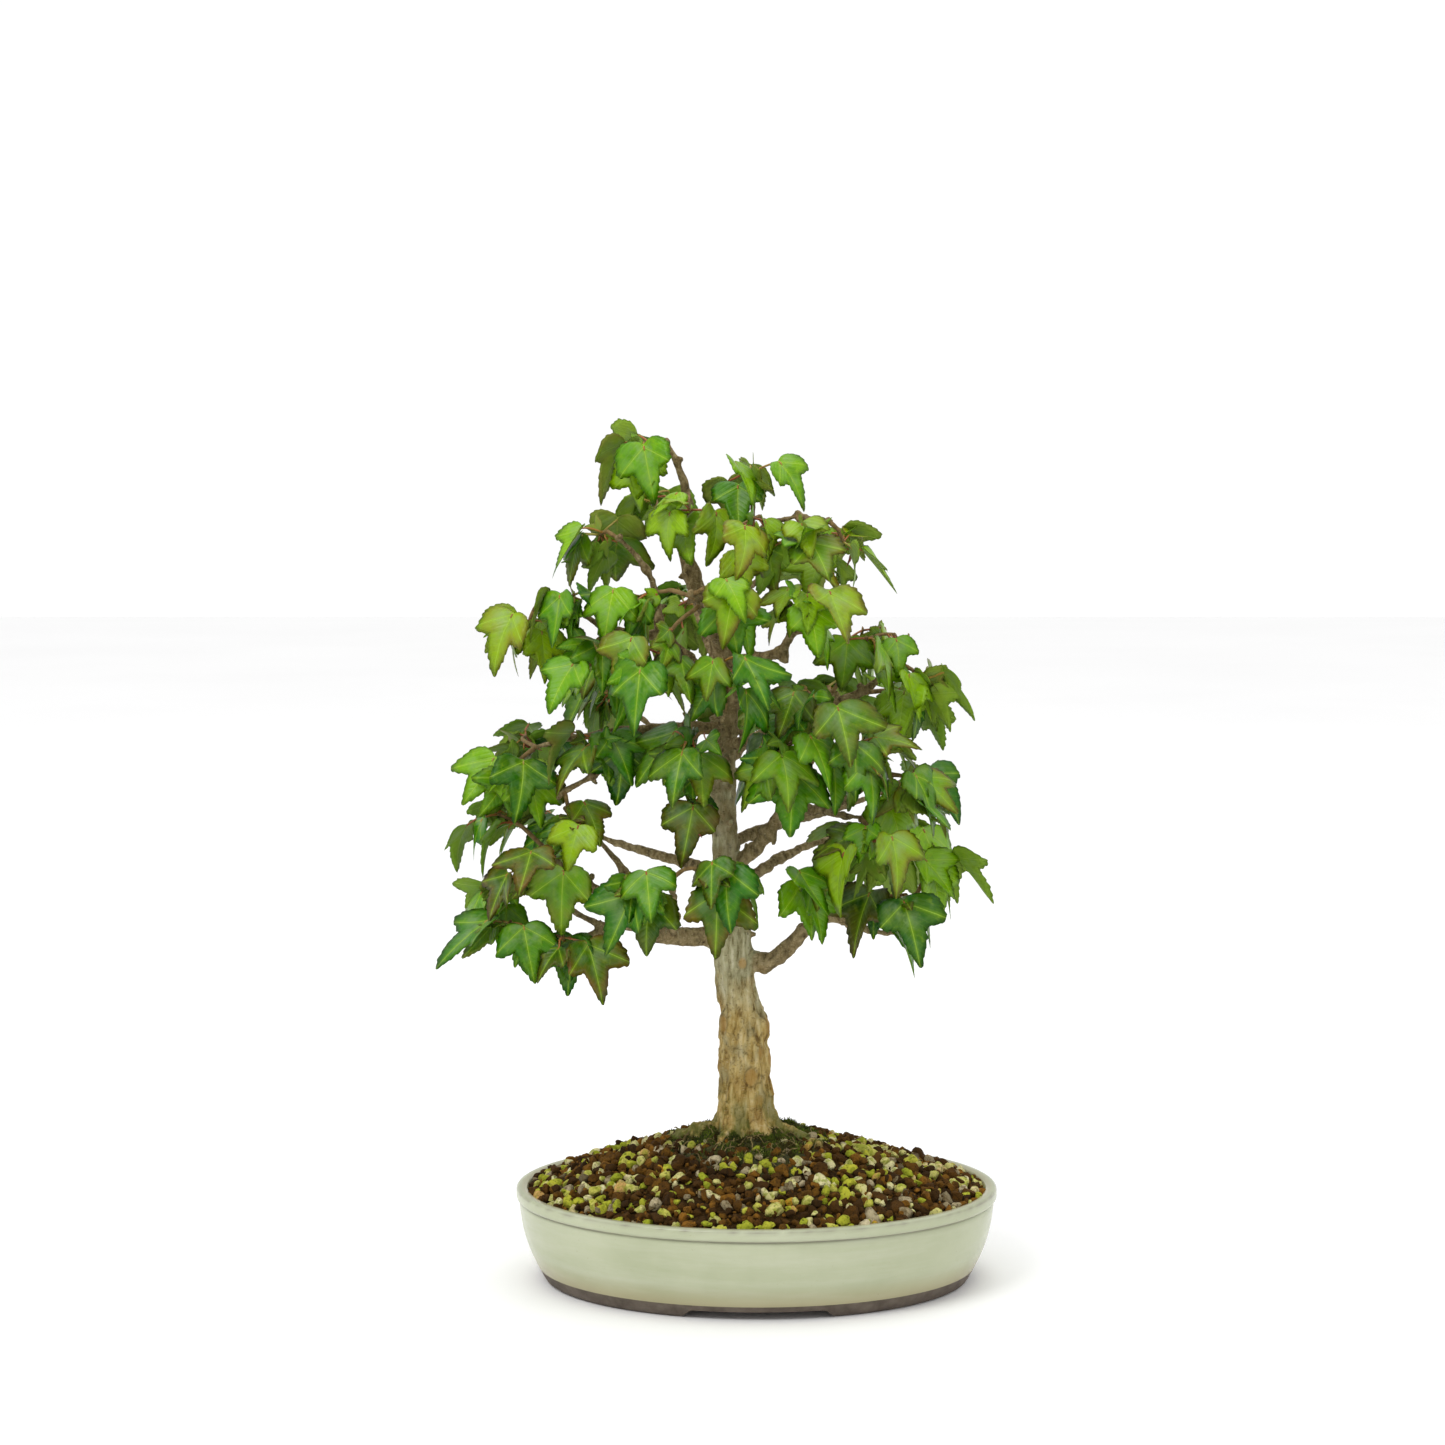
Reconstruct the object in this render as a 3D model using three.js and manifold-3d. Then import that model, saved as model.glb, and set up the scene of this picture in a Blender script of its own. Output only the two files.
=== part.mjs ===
// Trident maple bonsai in an oval glazed pot, in millimetres, +Z up.
// The pot is one fired piece on a foot ring. A plastic screen and a wire clip close each drain hole,
// and a mound of granular soil fills it. The tree's wood is one grown piece. Its leafy shoots are
// separate pieces, each a twig with the leaves it carries on their stalks.
// The front is -Y. The origin is the centre of the whole object's footprint, on the ground.
import * as THREE from "three";
import { mergeVertices } from "three/addons/utils/BufferGeometryUtils.js";
import Module from "manifold-3d";

const wasm = await Module();
wasm.setup();

// ---------------------------------------------------------------- driving dimensions
const GAP = 0.3; // clearance between pieces that touch
const SMALLEST_EDGE = 0.05; // slivers under this are taken out of each finished piece
const POT_LENGTH = 250; // over the rim, along X
const POT_DEPTH = 198; // over the rim, along Y
const POT_HEIGHT = 49; // ground to the top of the rim
const RIM_HEIGHT = 6.2; // the raised band under the lip
const RIM_PROUD = 1.3; // how far the band stands out of the wall
const WALL = 6; // thickness of the pot's wall
const FLOOR = 6; // thickness of the pot's floor
const WALL_BULGE = 3.2; // how far the wall bows out of a straight taper
const TAPER = 14; // how much narrower each side is at the foot
const FOOT_HEIGHT = 4.5;
const FOOT_WIDTH = 12; // of the foot ring, across
const ARCH_TOP = 66; // the gap between the feet, at its top
const ARCH_BOTTOM = 77;
const POT_SIDES = 48;

const DRAIN_RADIUS = 10;
const DRAIN_FROM_MIDDLE = 56;
const SCREEN_LAP = 5; // how far a screen reaches past its drain hole on each side
const SCREEN_THICKNESS = 1.4;
const SCREEN_BAR = 1.6;
const SCREEN_CELLS = 4;
const CLIP_RADIUS = 0.7;

const SOIL_BELOW_LIP = 3.5; // at the wall
const MOUND_HEIGHT = 31; // at the trunk, above the soil at the wall
const TRUNK_X = -6; // where the trunk stands in the pot
const TRUNK_Y = 3;
const TREE_HEIGHT = 359; // from the soil at the trunk to the top of the wood
const TRUNK_RADIUS = 13.4; // halfway up its bare part
const ROOT_DEPTH = 16; // how far the trunk's foot goes into the soil
const MOSS_THICKNESS = 3;

const LEAF_LENGTH = 31; // from the stalk to the tip of the middle lobe
const LEAF_THICKNESS = 1;
const LEAF_BEVEL = 0.95; // the lower face's size, as a share of the upper face's
const STALK_SHARE = 0.38; // a leaf stalk's length, as a share of the leaf's
const TWIG_RADIUS = 1.2;
const SHORTEST_TWIG = 17;
const TRIES = 60; // how many places to try for each leaf

// The right half of a leaf's outline for a leaf of length 1: [across, along] from the stalk.
const LEAF_HALF = [
  [0.02, 0], // the stalk's edge
  [0.59, 0.32], // side lobe
  [0.26, 0.46], // notch between the lobes
];

// ---------------------------------------------------------------- finishes
const finish = (colour, roughness, metalness = 0) =>
  new THREE.MeshStandardMaterial({ color: colour, roughness, metalness });
const glaze = finish(0xcfd6bd, 0.3);
const plasticMesh = finish(0x2f332f, 0.6);
const bareWire = finish(0xa9a49a, 0.4, 0.9);
const soilMix = finish(0x5a3a28, 0.95);
const mossGreen = finish(0x3d5c1c, 0.95);
const bark = finish(0x9a8a6c, 0.85);
const leafGreen = finish(0x3f7a28, 0.45);

// ---------------------------------------------------------------- solids
const vec = (x, y, z) => new THREE.Vector3(x, y, z);

// A repeatable pseudo-random number from 0 to 1 for a whole number.
function chance(n) {
  const s = Math.sin(n * 12.9898 + 4.137) * 43758.5453;
  return s - Math.floor(s);
}

const spread = (n, amount) => (chance(n) * 2 - 1) * amount;

function solidOf(geometry) {
  const bare = new THREE.BufferGeometry();
  bare.setAttribute("position", geometry.getAttribute("position"));
  if (geometry.index) bare.setIndex(geometry.index);
  const merged = mergeVertices(bare, 1e-4);
  const mesh = new wasm.Mesh({
    numProp: 3,
    vertProperties: new Float32Array(merged.attributes.position.array),
    triVerts: new Uint32Array(merged.index.array),
  });
  return new wasm.Manifold(mesh);
}

function meshOf(name, solid, material) {
  const found = solid.simplify(SMALLEST_EDGE).getMesh();
  const geometry = new THREE.BufferGeometry();
  geometry.setAttribute("position", new THREE.BufferAttribute(found.vertProperties, 3));
  geometry.setIndex(new THREE.BufferAttribute(found.triVerts, 1));
  geometry.computeVertexNormals();
  const mesh = new THREE.Mesh(geometry, material);
  mesh.name = name;
  return mesh;
}

const joined = (solids) => solids.reduce((all, one) => all.add(one));

// A closed skin over rings of as many points each, in order, with flat ends.
function loft(rings) {
  const sides = rings[0].length;
  const points = rings.flat().concat([middleOf(rings[0]), middleOf(rings[rings.length - 1])]);
  const index = [];
  for (let r = 0; r + 1 < rings.length; r++) {
    for (let s = 0; s < sides; s++) {
      const a = r * sides + s;
      const b = r * sides + ((s + 1) % sides);
      index.push(a, b, b + sides, a, b + sides, a + sides);
    }
  }
  const first = rings.length * sides;
  const last = (rings.length - 1) * sides;
  for (let s = 0; s < sides; s++) {
    const next = (s + 1) % sides;
    index.push(first, next, s, first + 1, last + s, last + next);
  }
  const geometry = new THREE.BufferGeometry().setFromPoints(points);
  geometry.setIndex(index);
  return solidOf(geometry);
}

function middleOf(ring) {
  const sum = vec(0, 0, 0);
  ring.forEach((p) => sum.add(p));
  return sum.divideScalar(ring.length);
}

// An ellipse of half-axes a and b at height z, anticlockwise from above.
function oval(a, b, z, sides = POT_SIDES) {
  return Array.from({ length: sides }, (_, i) => {
    const t = (i / sides) * 2 * Math.PI;
    return vec(a * Math.cos(t), b * Math.sin(t), z);
  });
}

// Rings of an oval body: each row is [how far inside the rim's outer edge, height].
const ovals = (rows) =>
  rows.map(([inset, z]) => oval(POT_LENGTH / 2 - inset, POT_DEPTH / 2 - inset, z));

// A round bar through points, whose radius runs through radii.
function taperedBar(points, radii, { sides = 7, steps = points.length * 2, grow = 0, lumps = 0 } = {}) {
  const curve = new THREE.CatmullRomCurve3(points, false, "centripetal");
  const { normals, binormals } = curve.computeFrenetFrames(steps, false);
  const rings = [];
  for (let i = 0; i <= steps; i++) {
    const t = i / steps;
    const at = curve.getPoint(curve.getUtoTmapping(t));
    if (i === 0) at.addScaledVector(curve.getTangentAt(0), -grow);
    if (i === steps) at.addScaledVector(curve.getTangentAt(1), grow);
    const share = curve.getUtoTmapping(t) * (radii.length - 1);
    const k = Math.min(Math.floor(share), radii.length - 2);
    const radius = THREE.MathUtils.lerp(radii[k], radii[k + 1], share - k);
    rings.push(
      Array.from({ length: sides }, (_, s) => {
        const angle = (s / sides) * 2 * Math.PI;
        const wobble = 1 + lumps * Math.sin(3 * angle + at.z * 0.11) + lumps * spread(i * 31 + s, 0.6);
        const r = radius * wobble + grow;
        return at
          .clone()
          .addScaledVector(normals[i], r * Math.cos(angle))
          .addScaledVector(binormals[i], r * Math.sin(angle));
      }),
    );
  }
  return { curve, solid: loft(rings) };
}

function box(sx, sy, sz, x, y, z) {
  return solidOf(new THREE.BoxGeometry(sx, sy, sz).translate(x, y, z));
}

function post(radius, low, high, x, y, sides = 16) {
  const turned = new THREE.CylinderGeometry(radius, radius, high - low, sides).rotateX(Math.PI / 2);
  return solidOf(turned.translate(x, y, (low + high) / 2));
}

// ---------------------------------------------------------------- pot
// How far the outer wall stands inside the rim's outer edge at height z.
function wallInset(z) {
  const share = z / (POT_HEIGHT - RIM_HEIGHT);
  return RIM_PROUD + TAPER * (1 - share) - WALL_BULGE * Math.sin(Math.PI * Math.min(share, 1));
}

const FLOOR_TOP = FOOT_HEIGHT + FLOOR;
const drains = { left: -DRAIN_FROM_MIDDLE, right: DRAIN_FROM_MIDDLE };

// The pot's inside, from its lip to its floor: rows of [how far inside the rim's outer edge, height].
const INSIDE = [
  [WALL, POT_HEIGHT - 1.4],
  ...[0.6, 0.12, 0].map((s) => {
    const z = FLOOR_TOP + s * (POT_HEIGHT - FLOOR_TOP);
    return [wallInset(z) + WALL + 6 * (1 - s) ** 6, z];
  }),
];

// How far the pot's inside stands from the rim's outer edge at height z.
function insideInset(z) {
  const k = INSIDE.findIndex((row) => row[1] <= z);
  const [low, high] = k < 0 ? INSIDE.slice(-2).reverse() : [INSIDE[Math.max(k, 1)], INSIDE[Math.max(k, 1) - 1]];
  return THREE.MathUtils.mapLinear(z, low[1], high[1], low[0], high[0]);
}

function potSolid() {
  const bandFoot = POT_HEIGHT - RIM_HEIGHT;
  const wallRows = [0, 0.2, 0.5, 0.8].map((s) => {
    const z = FOOT_HEIGHT + s * (bandFoot - FOOT_HEIGHT);
    return [wallInset(z), z];
  });
  const rimRows = [
    [wallInset(bandFoot) + 0.4, bandFoot - 0.5],
    [0.4, bandFoot + 0.3],
    [0, bandFoot + 1.4],
    [0, POT_HEIGHT - 1.6],
    [1, POT_HEIGHT - 0.3],
    [3, POT_HEIGHT],
  ];
  const body = loft(ovals([...wallRows, ...rimRows, ...INSIDE]));
  const sink = 0.5; // the foot ring's top goes this far into the body
  const footOutside = [
    [wallInset(0) + 1.2, 0],
    [wallInset(1), 1],
    [wallInset(FOOT_HEIGHT) + 0.1, FOOT_HEIGHT + sink],
  ];
  const footInside = [
    [wallInset(0) + FOOT_WIDTH, -1],
    [wallInset(0) + FOOT_WIDTH, FOOT_HEIGHT + sink + 1],
  ];
  const foot = loft(ovals(footOutside)).subtract(loft(ovals(footInside)));
  const arch = new THREE.Shape([
    new THREE.Vector2(-ARCH_BOTTOM / 2, -0.01),
    new THREE.Vector2(ARCH_BOTTOM / 2, -0.01),
    new THREE.Vector2(ARCH_TOP / 2, FOOT_HEIGHT),
    new THREE.Vector2(-ARCH_TOP / 2, FOOT_HEIGHT),
  ]);
  const archCut = new THREE.ExtrudeGeometry(arch, { depth: POT_DEPTH, bevelEnabled: false });
  const archSolid = solidOf(archCut.rotateX(Math.PI / 2).translate(0, POT_DEPTH / 2, 0));
  let pot = body.add(foot.subtract(archSolid));
  for (const x of Object.values(drains)) {
    pot = pot.subtract(post(DRAIN_RADIUS, 0, FLOOR_TOP + 1, x, 0));
  }
  return pot;
}

// ---------------------------------------------------------------- drain screens and clips
const SCREEN_SIDE = 2 * (DRAIN_RADIUS + SCREEN_LAP);
const SCREEN_PITCH = (SCREEN_SIDE - SCREEN_BAR) / SCREEN_CELLS;
const SCREEN_TOP = FLOOR_TOP + GAP + SCREEN_THICKNESS;

// A square plate with a grid of holes, flat on the pot's floor over a drain hole.
function screenSolid(x) {
  const z = SCREEN_TOP - SCREEN_THICKNESS / 2;
  const hole = SCREEN_PITCH - SCREEN_BAR;
  const at = (k) => (k - (SCREEN_CELLS - 1) / 2) * SCREEN_PITCH;
  const holes = [];
  for (let i = 0; i < SCREEN_CELLS; i++) {
    for (let j = 0; j < SCREEN_CELLS; j++) {
      holes.push(box(hole, hole, SCREEN_THICKNESS + 1, x + at(i), at(j), z));
    }
  }
  return box(SCREEN_SIDE, SCREEN_SIDE, SCREEN_THICKNESS, x, 0, z).subtract(joined(holes));
}

// A bent wire: over the screen's middle bar, down through two of its holes, and out under the floor.
function clipSolid(x) {
  const leg = SCREEN_PITCH / 2;
  const over = SCREEN_TOP + GAP + CLIP_RADIUS;
  const under = FOOT_HEIGHT - CLIP_RADIUS - GAP;
  const out = DRAIN_RADIUS + 2.5;
  const half = [
    [leg * 0.6, over],
    [leg, over - 1.4],
    [leg, under + 2],
    [leg + 1.6, under],
    [out, under],
  ];
  const path = [...half.map(([y, z]) => [-y, z]).reverse(), ...half];
  const points = path.map(([y, z]) => vec(x + SCREEN_PITCH / 2, y, z));
  return taperedBar(points, [CLIP_RADIUS, CLIP_RADIUS], { sides: 6, steps: 18 }).solid;
}

// ---------------------------------------------------------------- soil and moss
const SOIL_EDGE = POT_HEIGHT - SOIL_BELOW_LIP;

// The soil's height at a share of the way from the trunk to the wall, 0 to 1.
const soilHeight = (share) => SOIL_EDGE + MOUND_HEIGHT * (1 - share ** 1.7) * (1 - 0.1 * share);

const soilInset = insideInset(SOIL_EDGE) + GAP;

// The soil's height under a point, found along the line from the trunk through the point to the wall.
function soilTopAt(x, y) {
  const a = POT_LENGTH / 2 - soilInset;
  const b = POT_DEPTH / 2 - soilInset;
  const dx = x - TRUNK_X;
  const dy = y - TRUNK_Y;
  if (Math.hypot(dx, dy) < 1e-6) return soilHeight(0);
  const qa = (dx / a) ** 2 + (dy / b) ** 2;
  const qb = 2 * ((TRUNK_X * dx) / a ** 2 + (TRUNK_Y * dy) / b ** 2);
  const qc = (TRUNK_X / a) ** 2 + (TRUNK_Y / b) ** 2 - 1;
  const reach = (-qb + Math.sqrt(qb * qb - 4 * qa * qc)) / (2 * qa);
  return soilHeight(Math.min(1 / reach, 1));
}

// The body of soil inside the pot, with its top raised by lift.
function soilBody(lift = 0) {
  const levels = [FLOOR_TOP + GAP, ...INSIDE.map((row) => row[1]).reverse().slice(1, -1)];
  const below = levels.map((z) => [insideInset(z) + GAP, z]);
  const edge = oval(POT_LENGTH / 2 - soilInset, POT_DEPTH / 2 - soilInset, 0);
  const above = [1, 0.85, 0.62, 0.4, 0.2, 0.06].map((share) =>
    edge.map((p) => {
      const x = THREE.MathUtils.lerp(TRUNK_X, p.x, share);
      const y = THREE.MathUtils.lerp(TRUNK_Y, p.y, share);
      return vec(x, y, soilHeight(share) + lift);
    }),
  );
  return loft([...ovals(below), ...above]);
}

// A low cushion of moss over an arc of ground, from angle to angle in degrees round the trunk.
function mossCushion(from, to, near, far) {
  const steps = 7;
  const rings = [];
  for (let i = 0; i <= steps; i++) {
    const angle = THREE.MathUtils.degToRad(THREE.MathUtils.lerp(from, to, i / steps));
    const swell = Math.sin((Math.PI * (i + 0.6)) / (steps + 1.2));
    const reach = near + (far - near) * (0.35 + 0.65 * swell);
    const point = (s, lift) => {
      const r = THREE.MathUtils.lerp(near, reach, s);
      const x = TRUNK_X + r * Math.cos(angle);
      const y = TRUNK_Y + r * Math.sin(angle);
      return vec(x, y, soilTopAt(x, y) + lift);
    };
    const under = [0, 0.35, 0.7, 1].map((s) => point(s, -1.5));
    const over = [0.9, 0.5, 0.1].map((s) => point(s, 0.6 + MOSS_THICKNESS * swell * (1 - 0.7 * s * s)));
    rings.push([...under, ...over].reverse());
  }
  return loft(rings);
}

// ---------------------------------------------------------------- wood: trunk, roots and limbs
// Rows of [x, y, z, radius] along each one's middle, for a tree TREE_DRAWN high and a trunk of radius
// RADIUS_DRAWN. Heights are above the soil at the trunk.
const TREE_DRAWN = 359;
const RADIUS_DRAWN = 13.4;
const TRUNK = [
  [-6, 3, -17, 17],
  [-6, 3, -3, 18.5],
  [-6, 3, 5, 17],
  [-6, 3, 16, 15.2],
  [-6.6, 3, 31, 14.2],
  [-7.2, 3, 48, 13.4],
  [-7.4, 3, 59, 13.4],
  [-9, 3, 69, 11.3],
  [-10.4, 3, 77, 10.4],
  [-11.7, 3, 90, 11],
  [-12.4, 2, 101, 10.6],
  [-13.8, 2, 115, 9.2],
  [-15, 1, 133, 7.8],
  [-16.4, 0, 153, 6.5],
  [-17, 0, 171, 6.7],
  [-18, 0, 185, 7.3],
  [-16.4, 0, 202, 6.2],
  [-15, 0, 228, 5.6],
  [-18, 0, 249, 5],
  [-23, 0, 266, 4.6],
  [-32, 0, 285, 4.8],
  [-37.5, 0, 307, 3.6],
  [-35.5, 0, 328, 2.7],
  [-40, 0, 345, 2.1],
  [-47, -2, 359, 1.5],
];

const LIMBS = {
  low_right: [[-8, 2, 91, 6.8], [9, 0, 89, 5.8], [15.5, -3, 96, 4.8], [23, -7, 106, 4], [31, -10, 113, 3.4], [45, -14, 115, 2.6], [56, -18, 109, 1.8], [72, -22, 108, 1.3]],
  low_right_up: [[29, -9, 112, 3], [30, -16, 120, 2.4], [34, -28, 131, 2], [42, -45, 147, 1.4]],
  low_right_out: [[40, -13, 115, 2.6], [54, -14, 113, 2.2], [67, -16, 116, 1.8], [82, -18, 127, 1.3]],
  right: [[-15, 1, 138, 4.6], [-6, -3, 144, 4], [7, -10, 159, 3.6], [15, -15, 173, 3.4], [27, -20, 171, 3], [38, -26, 174, 2.6], [52, -32, 183, 2], [66, -38, 193, 1.4]],
  right_up: [[16, -15, 173, 2.8], [20, -26, 184, 2.2], [27, -40, 197, 1.6], [30, -54, 209, 1.2]],
  right_front: [[30, -21, 172, 2.4], [40, -36, 171, 1.9], [52, -50, 171, 1.3]],
  mid_right: [[-16, 0, 245, 3.8], [-4, -8, 248, 3.4], [12, -16, 251, 3], [18, -26, 263, 2.4], [23, -36, 275, 1.9], [29, -46, 285, 1.3]],
  mid_right_low: [[-16, 0, 203, 3.8], [-2, -16, 206, 3.2], [16, -34, 210, 2.6], [32, -48, 213, 1.9], [42, -56, 217, 1.3]],
  mid_right_out: [[-15, 0, 224, 4], [4, 3, 225, 3.4], [26, 2, 223, 2.9], [47, -2, 226, 2.4], [61, -7, 236, 2], [73, -10, 246, 1.6], [78, -10, 256, 1.2]],
  low_left: [[-13, 2, 97, 5.8], [-28, -2, 103, 5.2], [-42, -8, 104, 4.8], [-56, -15, 107, 4.6], [-66, -21, 115, 4.2], [-74, -26, 126, 3.4], [-84, -30, 133, 2.8], [-96, -34, 142, 2], [-108, -38, 155, 1.3]],
  low_left_under: [[-64, -20, 113, 3.6], [-78, -25, 110, 2.8], [-91, -29, 106, 2.2], [-103, -32, 106, 1.7], [-116, -34, 108, 1.2]],
  low_left_mid: [[-77, -25, 111, 2.2], [-90, -22, 117, 2], [-101, -20, 124, 1.7], [-118, -18, 134, 1.2]],
  low_left_up: [[-56, -14, 109, 3], [-62, -12, 129, 2.3], [-71, -12, 143, 1.9], [-84, -12, 158, 1.5], [-96, -14, 171, 1.1]],
  low_left_front: [[-44, -9, 105, 3.2], [-42, -30, 117, 2.6], [-42, -50, 131, 2], [-44, -66, 143, 1.4]],
  left: [[-16, 0, 211, 3.8], [-38, -12, 213, 3.3], [-57, -22, 213, 2.9], [-76, -28, 212, 2.3], [-96, -30, 209, 1.8], [-114, -30, 204, 1.3]],
  left_low: [[-56, -22, 213, 2.6], [-68, -32, 202, 2.1], [-84, -38, 190, 1.7], [-100, -40, 182, 1.2]],
  upper_left: [[-16, 0, 228, 4], [-29, -9, 241, 3.7], [-39, -17, 252, 3.4], [-53, -24, 263, 3], [-66, -27, 261, 2.5], [-80, -27, 266, 2], [-94, -22, 275, 1.5], [-106, -18, 282, 1.1]],
  upper_left_up: [[-49, -22, 261, 2.9], [-51, -22, 277, 2.4], [-54, -22, 291, 2], [-61, -24, 301, 1.7], [-70, -26, 310, 1.2]],
  front: [[-17, 0, 183, 3.6], [-18, -18, 191, 3], [-20, -38, 202, 2.5], [-20, -58, 215, 2], [-16, -76, 227, 1.3]],
  upper_front: [[-20, 0, 256, 3.2], [-22, -16, 261, 2.7], [-26, -36, 268, 2.2], [-28, -56, 277, 1.7], [-32, -68, 285, 1.2]],
  top_right: [[-25, 0, 271, 3.4], [-16, -8, 285, 3], [-8, -14, 299, 2.6], [-3, -17, 313, 2.2], [-2, -15, 325, 1.4]],
  top_right_out: [[-5, -16, 306, 2.2], [6, -23, 318, 1.8], [20, -26, 321, 1.5], [36, -26, 319, 1.1]],
  back_low: [[-14, 2, 119, 4.6], [-6, 18, 129, 3.8], [10, 36, 137, 3], [26, 54, 142, 2.2], [40, 66, 145, 1.4]],
  back_low_left: [[-15, 1, 133, 4.2], [-33, 17, 138, 3.4], [-57, 34, 142, 2.7], [-80, 48, 147, 2], [-98, 58, 153, 1.3]],
  back_right: [[-16, 0, 151, 4], [3, 18, 156, 3.3], [27, 34, 161, 2.6], [51, 46, 166, 2], [72, 54, 173, 1.3]],
  back_left: [[-17, 0, 173, 3.8], [-29, 20, 187, 3.1], [-45, 38, 200, 2.5], [-60, 52, 210, 1.9], [-68, 60, 216, 1.3]],
  back_mid: [[-16, 0, 193, 3.6], [-6, 20, 201, 3], [10, 40, 209, 2.4], [28, 58, 216, 1.8], [42, 70, 223, 1.2]],
  back_upper: [[-18, 0, 239, 3.3], [-22, 19, 247, 2.8], [-27, 40, 256, 2.2], [-31, 60, 265, 1.7], [-33, 74, 273, 1.2]],
  back_upper_right: [[-23, 0, 265, 2.9], [-13, 17, 276, 2.4], [2, 34, 286, 1.9], [16, 46, 296, 1.3]],
  back_top: [[-36, 0, 299, 2.6], [-42, 14, 311, 2.1], [-48, 26, 319, 1.3]],
};

// Surface roots: the direction each runs, in degrees, its length and its radius at the trunk.
const ROOTS = [
  { turn: -15, length: 30, radius: 6.5 },
  { turn: 28, length: 26, radius: 5 },
  { turn: 82, length: 24, radius: 6 },
  { turn: 140, length: 28, radius: 6 },
  { turn: 196, length: 22, radius: 5 },
  { turn: 236, length: 20, radius: 4 },
  { turn: 262, length: 19, radius: 2.6 },
  { turn: 305, length: 22, radius: 4.5 },
];

const treeSize = TREE_HEIGHT / TREE_DRAWN;
const ground = soilHeight(0);

// A place on the tree, from its row in a table.
const placeOf = ([x, y, z]) =>
  vec(TRUNK_X + (x - TRUNK_X) * treeSize, TRUNK_Y + (y - TRUNK_Y) * treeSize, ground + z * treeSize);

const pointsOf = (rows) => rows.map(placeOf);
const radiiOf = (rows) => rows.map((row) => (row[3] * TRUNK_RADIUS) / RADIUS_DRAWN);

function rootBar({ turn, length, radius }, grow) {
  const angle = THREE.MathUtils.degToRad(turn);
  const along = (r, drop) => {
    const x = TRUNK_X + r * Math.cos(angle);
    const y = TRUNK_Y + r * Math.sin(angle);
    return vec(x, y, soilTopAt(x, y) + drop);
  };
  const path = [along(9, radius + 4), along(15, 1.5), along(15 + length * 0.4, -radius * 0.4), along(15 + length, -7)];
  return taperedBar(path, [radius * 1.3, radius, radius * 0.7, radius * 0.4], { sides: 6, steps: 5, grow });
}

const trunkPoints = [vec(TRUNK_X, TRUNK_Y, ground - ROOT_DEPTH), ...pointsOf(TRUNK).slice(1)];

// Every bar of the wood, each radius grown by grow.
function woodBars(grow) {
  const trunk = taperedBar(trunkPoints, radiiOf(TRUNK), { sides: 10, steps: 32, grow, lumps: 0.035 });
  const bars = { trunk };
  for (const [name, rows] of Object.entries(LIMBS)) {
    const sides = rows[0][3] > 4.5 ? 6 : 5;
    bars[name] = taperedBar(pointsOf(rows), radiiOf(rows), { sides, steps: rows.length - 1, grow });
  }
  ROOTS.forEach((root, i) => (bars["root_" + i] = rootBar(root, grow)));
  return bars;
}

const bars = woodBars(0);
const wood = joined(Object.values(bars).map((bar) => bar.solid));
const woodGrown = joined(Object.values(woodBars(GAP)).map((bar) => bar.solid));

// The trunk's middle at height z.
function trunkMiddle(z) {
  const above = trunkPoints.findIndex((point) => point.z > z);
  const k = above < 0 ? trunkPoints.length - 1 : Math.max(above, 1);
  const [low, high] = [trunkPoints[k - 1], trunkPoints[k]];
  const share = THREE.MathUtils.clamp((z - low.z) / (high.z - low.z), 0, 1);
  return low.clone().lerp(high, share).setZ(z);
}

// ---------------------------------------------------------------- leafy shoots
// Each shoot's end, as [x, y, z], and how many leaves it carries. Its twig grows from the nearest limb.
const SHOOTS = {
  apex_left: [-53, -6, 356, 6],
  apex_right: [-6, -12, 345, 6],
  top_middle: [-34, -34, 324, 6],
  top_left: [-74, -20, 310, 6],
  top_front: [-12, -52, 316, 5],
  top_right: [18, -44, 310, 6],
  top_far_right: [43, -16, 303, 5],
  upper_left: [-92, -34, 280, 6],
  upper_left_front: [-59, -52, 282, 5],
  upper_middle: [-23, -70, 286, 6],
  upper_right: [21, -58, 278, 6],
  upper_far_left: [-116, -22, 263, 5],
  left_front: [-79, -54, 249, 6],
  middle_left: [-53, -70, 247, 5],
  middle_front: [-17, -82, 253, 6],
  right_upper: [55, -34, 260, 6],
  right_far: [76, -12, 241, 6],
  right_front: [24, -56, 236, 5],
  middle_low: [-34, -64, 211, 6],
  middle_right: [9, -72, 207, 6],
  right_middle: [46, -56, 210, 6],
  left_middle: [-81, -40, 209, 6],
  right_low_out: [72, -38, 188, 6],
  left_out: [-120, -34, 194, 6],
  left_low: [-92, -42, 174, 5],
  left_far: [-137, -18, 170, 5],
  left_under: [-109, -46, 149, 6],
  left_low_far: [-130, -24, 129, 5],
  left_lowest: [-122, -42, 115, 5],
  left_lowest_front: [-98, -50, 111, 4],
  low_front_left: [-54, -68, 139, 6],
  low_front: [-19, -74, 148, 5],
  low_leaf: [-34, -52, 178, 2],
  low_right_front: [55, -54, 163, 6],
  low_right_inner: [27, -46, 144, 6],
  low_right_far: [86, -20, 147, 5],
  low_right_out: [68, -38, 129, 5],
  back_low: [48, 74, 147, 6],
  back_low_left: [-104, 52, 157, 6],
  back_right: [74, 54, 175, 6],
  back_middle_left: [-76, 66, 221, 6],
  back_middle: [38, 74, 223, 6],
  back_centre: [-14, 66, 215, 5],
  back_upper: [-34, 76, 271, 6],
  back_upper_left: [-84, 40, 251, 6],
  back_upper_right: [22, 50, 295, 6],
  back_top: [-54, 44, 329, 6],
  back_far_right: [76, 28, 217, 5],
  back_far_left: [-114, 22, 207, 6],
  back_right_upper: [56, 44, 259, 6],
  back_low_right: [84, 34, 139, 5],
};

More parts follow.
